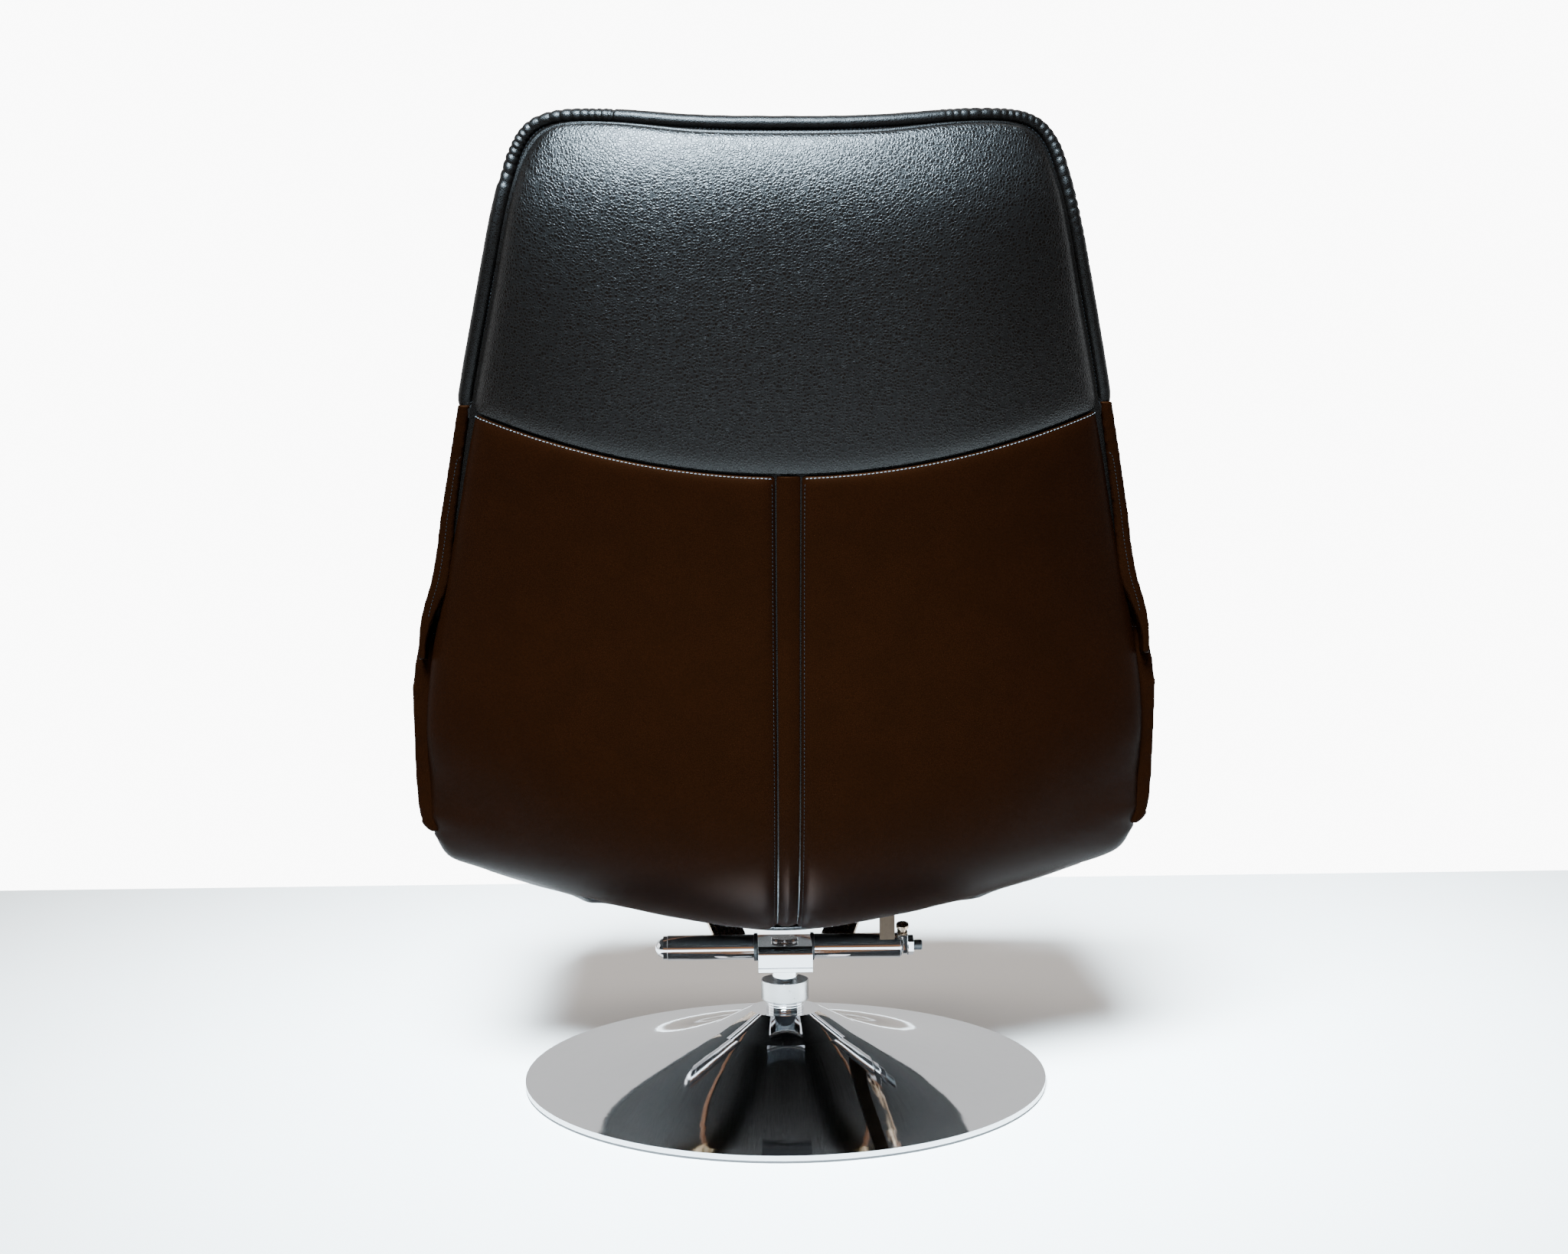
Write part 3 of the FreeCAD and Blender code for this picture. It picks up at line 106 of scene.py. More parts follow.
class MetalSettings(bpy.types.PropertyGroup):
    chrome_roughness: bpy.props.FloatProperty(
        name="Chrome Roughness", description="Blur of the mirror finish",
        default=0.035, min=0.0, max=1.0, subtype="FACTOR")
    edge_break: bpy.props.FloatProperty(
        name="Edge Break", description="Width of the rounding on machined edges",
        default=0.35 * MM, unit="LENGTH")


class StudioSettings(bpy.types.PropertyGroup):
    eye: bpy.props.FloatVectorProperty(
        name="Camera Place", description="Where the camera stands",
        subtype="XYZ", size=3, default=(-0.0585, -2.171, 0.6537))
    pitch: bpy.props.FloatProperty(
        name="Pitch", description="How far the camera looks down", default=math.radians(3.22),
        subtype="ANGLE")
    yaw: bpy.props.FloatProperty(
        name="Yaw", description="How far the camera is turned towards +X", default=math.radians(1.60),
        subtype="ANGLE")
    roll: bpy.props.FloatProperty(
        name="Roll", description="How far the camera's right side dips", default=math.radians(0.44),
        subtype="ANGLE")
    lens: bpy.props.FloatProperty(
        name="Lens", description="Focal length on a 36 mm wide sensor", default=42.75, unit="CAMERA")
    floor_colour: bpy.props.FloatVectorProperty(
        name="Floor", description="Colour of the plain floor",
        subtype="COLOR", size=4, default=(0.72, 0.66, 0.61, 1.0))


def leather_settings():
    return bpy.context.scene.recliner_leather


def metal_settings():
    return bpy.context.scene.recliner_metal


def studio_settings():
    return bpy.context.scene.recliner_studio


# ---------------------------------------------------------------- shader nodes


def new_group(name, inputs, outputs):
    """A shader node group with named float, colour or vector sockets, and its two end nodes."""
    group = bpy.data.node_groups.new(name, "ShaderNodeTree")
    for socket, kind, default in inputs:
        item = group.interface.new_socket(socket, in_out="INPUT", socket_type=f"NodeSocket{kind}")
        if default is not None:
            item.default_value = default
    for socket, kind in outputs:
        group.interface.new_socket(socket, in_out="OUTPUT", socket_type=f"NodeSocket{kind}")
    return group, group.nodes.new("NodeGroupInput"), group.nodes.new("NodeGroupOutput")


def add_node(tree, kind, **values):
    """A node with its properties set, and its input sockets where a name isn't a property."""
    node = tree.nodes.new(kind)
    for name, value in values.items():
        if hasattr(node, name):
            setattr(node, name, value)
        else:
            node.inputs[name.replace("_", " ").title()].default_value = value
    return node


def math_node(tree, operation, first, second=None, clamp=False):
    node = tree.nodes.new("ShaderNodeMath")
    node.operation = operation
    node.use_clamp = clamp
    for socket, value in zip(node.inputs, (first, second)):
        if value is None:
            continue
        if isinstance(value, (int, float)):
            socket.default_value = value
        else:
            tree.links.new(value, socket)
    return node.outputs[0]


def mix_colour(tree, share, first, second, blend="MIX"):
    node = tree.nodes.new("ShaderNodeMix")
    node.data_type = "RGBA"
    node.blend_type = blend
    for socket, value in ((node.inputs[0], share), (node.inputs[6], first), (node.inputs[7], second)):
        if isinstance(value, (int, float, tuple)):
            socket.default_value = value
        else:
            tree.links.new(value, socket)
    return node.outputs[2]


def ramp(tree, value, low, high, invert=False):
    """0 below low and 1 above high, or the other way round."""
    node = tree.nodes.new("ShaderNodeMapRange")
    node.interpolation_type = "SMOOTHSTEP"
    node.inputs["From Min"].default_value = low
    node.inputs["From Max"].default_value = high
    node.inputs["To Min"].default_value = 1.0 if invert else 0.0
    node.inputs["To Max"].default_value = 0.0 if invert else 1.0
    tree.links.new(value, node.inputs["Value"])
    return node.outputs["Result"]


def shaded(colour, share):
    """The same hue at a share of its brightness."""
    return tuple(channel * share for channel in colour[:3]) + (1.0,)


def add_bump(tree, surface, height, strength, distance):
    """Lets a height roughen a surface's shading, without changing its mesh."""
    bump = tree.nodes.new("ShaderNodeBump")
    bump.inputs["Strength"].default_value = strength
    bump.inputs["Distance"].default_value = distance
    tree.links.new(height, bump.inputs["Height"])
    tree.links.new(bump.outputs["Normal"], surface.inputs["Normal"])


def grain_group():
    """Leather grain: pebbles with creases between them, broken up by fine noise."""
    if "Leather Grain" in bpy.data.node_groups:
        return bpy.data.node_groups["Leather Grain"]
    group, start, end = new_group(
        "Leather Grain",
        [("Vector", "Vector", None), ("Pebble Scale", "Float", 420.0), ("Crease", "Float", 0.5)],
        [("Height", "Float"), ("Crease Mask", "Float"), ("Mottle", "Float")])
    links = group.links
    warp = add_node(group, "ShaderNodeTexNoise", scale=140.0, detail=2.0)
    links.new(start.outputs["Vector"], warp.inputs["Vector"])
    bend = group.nodes.new("ShaderNodeVectorMath")
    bend.operation = "MULTIPLY_ADD"
    links.new(warp.outputs["Color"], bend.inputs[0])
    bend.inputs[1].default_value = (0.0026, 0.0026, 0.0026)
    links.new(start.outputs["Vector"], bend.inputs[2])
    cells = add_node(group, "ShaderNodeTexVoronoi", feature="DISTANCE_TO_EDGE")
    links.new(bend.outputs[0], cells.inputs["Vector"])
    links.new(start.outputs["Pebble Scale"], cells.inputs["Scale"])
    pebble = ramp(group, cells.outputs["Distance"], 0.0, 0.28)
    fine = add_node(group, "ShaderNodeTexNoise", detail=3.0)
    links.new(start.outputs["Vector"], fine.inputs["Vector"])
    links.new(math_node(group, "MULTIPLY", start.outputs["Pebble Scale"], 1.9), fine.inputs["Scale"])
    broad = add_node(group, "ShaderNodeTexNoise", scale=26.0, detail=3.0)
    links.new(start.outputs["Vector"], broad.inputs["Vector"])
    patch = ramp(group, broad.outputs["Fac"], 0.3, 0.7)
    height = math_node(group, "ADD", math_node(group, "MULTIPLY", pebble, start.outputs["Crease"]),
                       math_node(group, "MULTIPLY", fine.outputs["Fac"], 0.55))
    links.new(height, end.inputs["Height"])
    links.new(math_node(group, "SUBTRACT", 1.0, pebble), end.inputs["Crease Mask"])
    links.new(patch, end.inputs["Mottle"])
    return group


def wear_group():
    """Fine scratches and a faint cloud of handling marks, as a mask for metal and plastic."""
    if "Surface Wear" in bpy.data.node_groups:
        return bpy.data.node_groups["Surface Wear"]
    group, start, end = new_group(
        "Surface Wear",
        [("Vector", "Vector", None), ("Scale", "Float", 60.0), ("Amount", "Float", 0.3)],
        [("Mask", "Float"), ("Height", "Float")])
    links = group.links
    cloud = add_node(group, "ShaderNodeTexNoise", detail=5.0, roughness=0.6)
    links.new(start.outputs["Vector"], cloud.inputs["Vector"])
    links.new(start.outputs["Scale"], cloud.inputs["Scale"])
    scratch = add_node(group, "ShaderNodeTexNoise", detail=2.0, distortion=2.5)
    links.new(start.outputs["Vector"], scratch.inputs["Vector"])
    links.new(math_node(group, "MULTIPLY", start.outputs["Scale"], 9.0), scratch.inputs["Scale"])
    mask = math_node(group, "MULTIPLY", ramp(group, cloud.outputs["Fac"], 0.42, 0.78),
                     start.outputs["Amount"])
    links.new(mask, end.inputs["Mask"])
    links.new(scratch.outputs["Fac"], end.inputs["Height"])
    return group


def new_material(name, **shader):
    """A material with one Principled BSDF, its own values set from keywords, and an Object vector."""
    material = bpy.data.materials.new(name)
    material.use_nodes = True
    tree = material.node_tree
    surface = tree.nodes["Principled BSDF"]
    for key, value in shader.items():
        surface.inputs[key.replace("_", " ").title().replace("Ior", "IOR")].default_value = value
    place = tree.nodes.new("ShaderNodeTexCoord").outputs["Object"]
    return material, tree, surface, place


def leather(name, colour, pebble=330.0, crease=0.6, depth=0.7, rough=(0.3, 0.46), warm=0.0,
            gloss=0.08, reflection_tint=(1.0, 1.0, 1.0, 1.0)):
    """Pigmented leather: darker, rougher creases between pebbles, with broad tonal patches."""
    # A reflection tint other than white colours every reflection, as a painted reflection.
    material, tree, surface, place = new_material(name, specular_ior_level=gloss, specular_tint=reflection_tint)
    grain = tree.nodes.new("ShaderNodeGroup")
    grain.node_tree = grain_group()
    grain.inputs["Pebble Scale"].default_value = pebble
    grain.inputs["Crease"].default_value = crease
    tree.links.new(place, grain.inputs["Vector"])
    dark = shaded(colour, 0.55)
    light = tuple(min(channel * (1.12 + warm * share), 1.0)
                  for channel, share in zip(colour[:3], (1.0, 0.35, 0.1))) + (1.0,)
    patched = mix_colour(tree, grain.outputs["Mottle"], colour[:3] + (1.0,), light)
    tree.links.new(mix_colour(tree, math_node(tree, "MULTIPLY", grain.outputs["Crease Mask"], 0.7),
                              patched, dark), surface.inputs["Base Color"])
    spread = tree.nodes.new("ShaderNodeMapRange")
    spread.inputs["To Min"].default_value = rough[0]
    spread.inputs["To Max"].default_value = rough[1]
    tree.links.new(grain.outputs["Crease Mask"], spread.inputs["Value"])
    tree.links.new(spread.outputs["Result"], surface.inputs["Roughness"])
    add_bump(tree, surface, grain.outputs["Height"], depth, 0.5 * MM)
    return material


def metal(name, colour, roughness, wear=0.25, scale=60.0, bump_strength=0.02, metallic=1.0):
    """Plated or bare metal with a trace of handling marks in its roughness."""
    material, tree, surface, place = new_material(name, metallic=metallic)
    marks = tree.nodes.new("ShaderNodeGroup")
    marks.node_tree = wear_group()
    marks.inputs["Scale"].default_value = scale
    marks.inputs["Amount"].default_value = wear
    tree.links.new(place, marks.inputs["Vector"])
    dull = shaded(colour, 0.82)
    tree.links.new(mix_colour(tree, marks.outputs["Mask"], colour, dull), surface.inputs["Base Color"])
    tree.links.new(math_node(tree, "ADD", math_node(tree, "MULTIPLY", marks.outputs["Mask"], 0.10),
                             roughness), surface.inputs["Roughness"])
    add_bump(tree, surface, marks.outputs["Height"], bump_strength, 0.1 * MM)
    return material


def thread_material(name, colour):
    material, tree, surface, place = new_material(name, roughness=0.5, specular_ior_level=0.04)
    twist = add_node(tree, "ShaderNodeTexWave", scale=900.0, distortion=1.5)
    tree.links.new(place, twist.inputs["Vector"])
    dark = shaded(colour, 0.5)
    tree.links.new(mix_colour(tree, twist.outputs["Fac"], dark, colour), surface.inputs["Base Color"])
    add_bump(tree, surface, twist.outputs["Fac"], 0.4, 0.2 * MM)
    return material


def wood_material():
    material, tree, surface, place = new_material("Beech Ply", roughness=0.55)
    wave = add_node(tree, "ShaderNodeTexWave", scale=28.0, distortion=6.0, detail=4.0)
    tree.links.new(place, wave.inputs["Vector"])
    tree.links.new(mix_colour(tree, wave.outputs["Fac"], (0.42, 0.27, 0.14, 1.0), (0.60, 0.42, 0.25, 1.0)),
                   surface.inputs["Base Color"])
    add_bump(tree, surface, wave.outputs["Fac"], 0.15, 0.3 * MM)
    return material


def finish_material(name):
    """The material of that finish, made the first time that it is asked for."""
    if name in bpy.data.materials:
        return bpy.data.materials[name]
    shine = metal_settings().chrome_roughness
    skin = leather_settings()
    makers = {
        "Upper Leather": lambda: leather(name, tuple(skin.upper_colour), depth=0.6, rough=(0.24, 0.37),
                                         gloss=0.13),
        "Piping Leather": lambda: leather(name, tuple(skin.upper_colour), 520.0, 0.5, 0.3, (0.27, 0.44),
                                          gloss=0.08),
        # The orange reflection tint is a painted reflection: it colours every reflection like that of a warm
        # floor.
        "Lower Leather": lambda: leather(name, tuple(skin.lower_colour), 560.0, 0.3, 0.22, (0.34, 0.44), 0.06,
                                         0.01, (1.0, 0.42, 0.16, 1.0)),
        "Underside Cloth": lambda: leather(name, tuple(skin.underside_colour), 700.0, 0.35, 0.25,
                                           (0.5, 0.62)),
        "Grey Thread": lambda: thread_material(name, tuple(skin.thread_colour)),
        "Dark Thread": lambda: thread_material(name, tuple(skin.dark_thread_colour)),
        "Chrome": lambda: metal(name, (0.80, 0.81, 0.83, 1.0), shine, 0.12),
        "Satin Steel": lambda: metal(name, (0.38, 0.375, 0.37, 1.0), 0.24, 0.5, 90.0, 0.08),
        "Bronze": lambda: metal(name, (0.30, 0.215, 0.15, 1.0), 0.26, 0.7, 240.0, 0.2),
        "Brown Steel": lambda: metal(name, (0.035, 0.025, 0.018, 1.0), 0.3, 0.7, 200.0, 0.15),
        "Dark Steel": lambda: metal(name, (0.25, 0.215, 0.19, 1.0), 0.2, 0.6, 120.0, 0.1),
        "Black Nylon": lambda: metal(name, (0.008, 0.008, 0.008, 1.0), 0.42, 0.5, 200.0, 0.15, 0.0),
        "Rubber": lambda: metal(name, (0.012, 0.012, 0.012, 1.0), 0.7, 0.6, 160.0, 0.3, 0.0),
        "Beech Ply": wood_material,
    }
    return makers[name]()


# ---------------------------------------------------------------- mesh helpers


def finished(name, mesh, material, body, replaces=(), smooth=True, levels=0, thickness=0.0):
    """Makes a bmesh an object with its finish, and lets it ride on its body."""
    data = bpy.data.meshes.new(name)
    mesh.to_mesh(data)
    mesh.free()
    if smooth:
        data.shade_smooth()
    piece = bpy.data.objects.new(name, data)
    bpy.context.scene.collection.objects.link(piece)
    data.materials.append(finish_material(material))
    if thickness:
        wall = piece.modifiers.new("Wall", "SOLIDIFY")
        wall.thickness = thickness
        wall.offset = -1.0
        wall.use_even_offset = False
    if levels:
        rounder = piece.modifiers.new("Rounder", "SUBSURF")
        rounder.levels = levels
        rounder.render_levels = levels
    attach(piece, body)
    if replaces:
        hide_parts(*replaces)
    return piece


def sheet_grid(across, down, place):
    """A grid whose vertex at shares (u, v) of its sides stands where place(u, v) says."""
    mesh = bmesh.new()
    bmesh.ops.create_grid(mesh, x_segments=across, y_segments=down, size=0.5)
    layer_u = mesh.verts.layers.float.new("share_u")
    layer_v = mesh.verts.layers.float.new("share_v")
    for vert in mesh.verts:
        u, v = vert.co.x + 0.5, vert.co.y + 0.5
        vert[layer_u], vert[layer_v] = u, v
        vert.co = place(u, v)
    return mesh, layer_u, layer_v


def even_out(mesh, verts, rounds):
    for _ in range(rounds):
        bmesh.ops.smooth_vert(mesh, verts=verts, factor=0.5, use_axis_x=True, use_axis_y=True,
                              use_axis_z=True)
    mesh.normal_update()


def relax(mesh, rounds):
    """Evens out a surface without moving its border."""
    even_out(mesh, [vert for vert in mesh.verts if not vert.is_boundary], rounds)


def as_built(holder):
    """An object's shape with its modifiers or bevel, as a bmesh. The object itself is removed."""
    bpy.context.scene.collection.objects.link(holder)
    bpy.context.view_layer.update()
    shape = bpy.data.meshes.new_from_object(holder.evaluated_get(bpy.context.evaluated_depsgraph_get()))
    bpy.data.objects.remove(holder)
    mesh = bmesh.new()
    mesh.from_mesh(shape)
    bpy.data.meshes.remove(shape)
    return mesh


def face_towards(mesh, direction):
    """Turns an open sheet's faces so that they look the given way."""
    mesh.normal_update()
    total = sum((face.normal * face.calc_area() for face in mesh.faces), Vector())
    if total.dot(Vector(direction)) < 0:
        bmesh.ops.reverse_faces(mesh, faces=mesh.faces)
    mesh.normal_update()


class Skin:
    """Finds points on the outer face of CAD nodes, with rays cast at them from outside."""

    POLE_HEIGHT = 0.34    # above it the rows are level; below it they turn under the seat

    def __init__(self, *names):
        mesh = bmesh.new()
        for name in names:
            mesh.from_mesh(NODES[name].data)
        self.tree = BVHTree.FromBMesh(mesh)
        mesh.free()
        self.pole = Vector((0.0, STRIP_HIGH.y, self.POLE_HEIGHT))

    def hit(self, origin, along, lift=0.0):
        """The first point that a ray meets, moved outwards by lift."""
        point, normal, _, _ = self.tree.ray_cast(origin, along)
        if point is None:
            return None
        if normal.dot(along) > 0:
            normal = -normal
        return point + normal * lift

    def rear(self, x, row, lift=0.0):
        """The rear surface at x. A row is a height above the pole, or minus an angle round it."""
        if row >= 0:
            return self.hit(Vector((x, -1.0, self.pole.z + row)), Vector((0.0, 1.0, 0.0)), lift)
        along = Vector((0.0, math.cos(row), -math.sin(row)))
        return self.hit(Vector((x, self.pole.y, self.pole.z)) - along, along, lift)

    def reach(self, found, high):
        """The largest distance at which found(distance) still meets the surface."""
        low = 0.0
        for _ in range(18):
            middle = (low + high) / 2
            if found(middle) is None:
                high = middle
            else:
                low = middle
        return low

    def half(self, row):
        """How far the surface reaches to the side along a row."""
        return self.reach(lambda x: self.rear(x, row), 0.45)

    def rim(self, angle, inset=0.0):
        """A point of the head's outline, at an angle from straight up, as (x, height)."""
        side, up = math.sin(angle), math.cos(angle)
        far = self.reach(lambda r: self.rear(r * side, HEAD_CENTRE + r * up - self.POLE_HEIGHT), 0.5)
        return Vector(((far - inset) * side, HEAD_CENTRE + (far - inset) * up))


def swell(distance, height, reach):
    """How far padding lifts a cover at a distance from its seam."""
    return height * (1.0 - math.exp(-max(distance, 0.0) / reach))


def crumple(point, scale, seed=0.0):
    """Smooth noise from -1 to 1."""
    return noise.noise(Vector((point.x, point.y, point.z)) * scale + Vector((seed, 0.0, 0.0)))


def lerp(a, b, share):
    return a + (b - a) * share


def ease(value, low, high):
    """0 below low, 1 above high and smooth between them."""
    share = min(max((value - low) / (high - low), 0.0), 1.0)
    return share * share * (3 - 2 * share)


def along_line(points, pitch):
    """Points a pitch apart along a line of points, each with the line's direction there."""
    spots, left = [], pitch / 2
    for start, end in zip(points, points[1:]):
        length = (end - start).length
        if length == 0:
            continue
        while left < length:
            spots.append((start.lerp(end, left / length), (end - start) / length))
            left += pitch
        left -= length
    return spots


def even_points(points, count):
    """The same line with its points the same distance apart."""
    length = sum((b - a).length for a, b in zip(points, points[1:]))
    spots = [spot for spot, _ in along_line(points, length / (count - 1))]
    return [points[0]] + spots[1:count - 1] + [points[-1]]


def sew(mesh, points, outward, tilt=0.12):
    """Adds a row of stitches along a line. outward(point) is the way that they stand up."""
    skin = leather_settings()
    for i, (spot, along) in enumerate(along_line(points, skin.stitch_pitch)):
        up = outward(spot)
        side = up.cross(along).normalized()
        along = (along + side * tilt * (1 + 0.4 * math.sin(i * 2.4))).normalized()
        side = up.cross(along).normalized()
        size = (skin.stitch_length / 2, skin.stitch_radius, skin.stitch_radius * 0.8)
        turned = Matrix([[axis[k] * scale for axis, scale in zip((along, side, side.cross(along) * -1), size)]
                         for k in range(3)]).to_4x4()
        bmesh.ops.create_uvsphere(mesh, u_segments=6, v_segments=4, radius=1.0,
                                  matrix=Matrix.Translation(spot) @ turned)


def facing(mesh):
    """A function that gives the way that the nearest part of a cover looks."""
    tree = BVHTree.FromBMesh(mesh)

    def outward(point):
        return tree.find_nearest(point)[1]
    return outward


# ---------------------------------------------------------------- rear covers


SHELL_LIFT = 2.5 * MM      # the covers lie this far outside the moulded shell
STRIP_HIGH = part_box("centre_strip")[1]
SEAM_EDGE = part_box("back_panel_upper")[1].x
SEAM_EDGE_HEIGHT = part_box("back_panel_left")[1].z
HEAD_CENTRE = lerp(SEAM_EDGE_HEIGHT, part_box("back_panel_upper")[1].z, 0.45)
SEAM_TURN = math.atan2(SEAM_EDGE, SEAM_EDGE_HEIGHT - HEAD_CENTRE)
CORNER_TURN = math.radians(57.0)


def seam_height(x):
    """The cross seam: lowest in the middle, highest at the sides."""
    return lerp(STRIP_HIGH.z, SEAM_EDGE_HEIGHT, (x / SEAM_EDGE) ** 2)


def rim_line(skin, start, end, inset, count=48):
    return even_points([skin.rim(lerp(start, end, i / (2 * count)), inset).to_3d()
                        for i in range(2 * count + 1)], count)


def pick(points, share):
    """The point at a share of a line's length."""
    place = min(max(share, 0.0), 1.0) * (len(points) - 1)
    i = min(int(place), len(points) - 2)
    return points[i].lerp(points[i + 1], place - i)


class RECLINER_OT_upper_panel(bpy.types.Operator):
    """Add the grained leather panel behind the head"""
    bl_idname = "recliner.upper_panel"
    bl_label = "Upper Back Panel"

    def execute(self, context):
        skin = Skin("seat_shell")
        rise = leather_settings().panel_swell
        inset = 1.5 * MM
        sides = {sign: rim_line(skin, sign * SEAM_TURN, sign * CORNER_TURN, inset) for sign in (-1, 1)}
        crown = rim_line(skin, -CORNER_TURN, CORNER_TURN, inset)
        reach = sides[1][0].x
        steps = [lerp(-reach, reach, i / 60) for i in range(61)]
        foot = [Vector((x, seam_height(x) + 0.4 * MM, 0.0)) for x in steps]
        sides[-1][0], sides[1][0] = foot[0], foot[-1]

        def flat(u, v):
            """A point of the panel in the rear view, from its four border lines."""
            across = pick(foot, u).lerp(pick(crown, u), v)
            upward = pick(sides[-1], v).lerp(pick(sides[1], v), u)
            corners = foot[0].lerp(foot[-1], u).lerp(crown[0].lerp(crown[-1], u), v)
            return across + upward - corners

        def place(u, v):
            spot = flat(u, v)
            for shrink in (1.0, 0.996, 0.99, 0.98):
                height = HEAD_CENTRE + (spot.y - HEAD_CENTRE) * shrink
                found = skin.rear(spot.x * shrink, height - skin.POLE_HEIGHT, SHELL_LIFT)
                if found:
                    return Vector((spot.x, found.y, spot.y))
            raise RuntimeError(f"the upper panel misses the shell at {spot}")

        mesh, layer_u, layer_v = sheet_grid(104, 58, place)
        face_towards(mesh, (0, -1, 0))
        relax(mesh, 4)
        width, height = 0.60, 0.31
        for vert in mesh.verts:
            u, v = vert[layer_u], vert[layer_v]
            rim = min(min(u, 1 - u) * width, (1 - v) * height)
            seam = v * height
            lift = swell(rim, rise, 9 * MM) * (1 - 0.75 * math.exp(-seam / (7 * MM)))
            lift -= 2.0 * MM * math.exp(-rim / (3 * MM)) + 0.9 * MM * math.exp(-seam / (3 * MM))
            near = min(rim, seam)
            fade = min(near / 0.03, 1.0)
            lift += 0.55 * MM * crumple(vert.co, 11.0) * fade
            corner = math.hypot(min(u, 1 - u) * width, (1 - v) * height)
            spokes = math.sin(21 * math.atan2((1 - v) * height, min(u, 1 - u) * width + 1e-4))
            lift += 0.4 * MM * spokes * math.exp(-corner / 0.03) * min(rim / 0.006, 1.0)
            ripple = crumple(Vector((vert.co.x * 1.6, 0.0, vert.co.z)), 70.0, 3.0)
            lift += 0.3 * MM * ripple * math.exp(-near / 0.012)
            vert.co += vert.normal * lift
        mesh.normal_update()
        finished("upper_panel", mesh, "Upper Leather", "seat", ["back_panel_upper"],
                 levels=1, thickness=LEATHER_THICK)
        return {"FINISHED"}


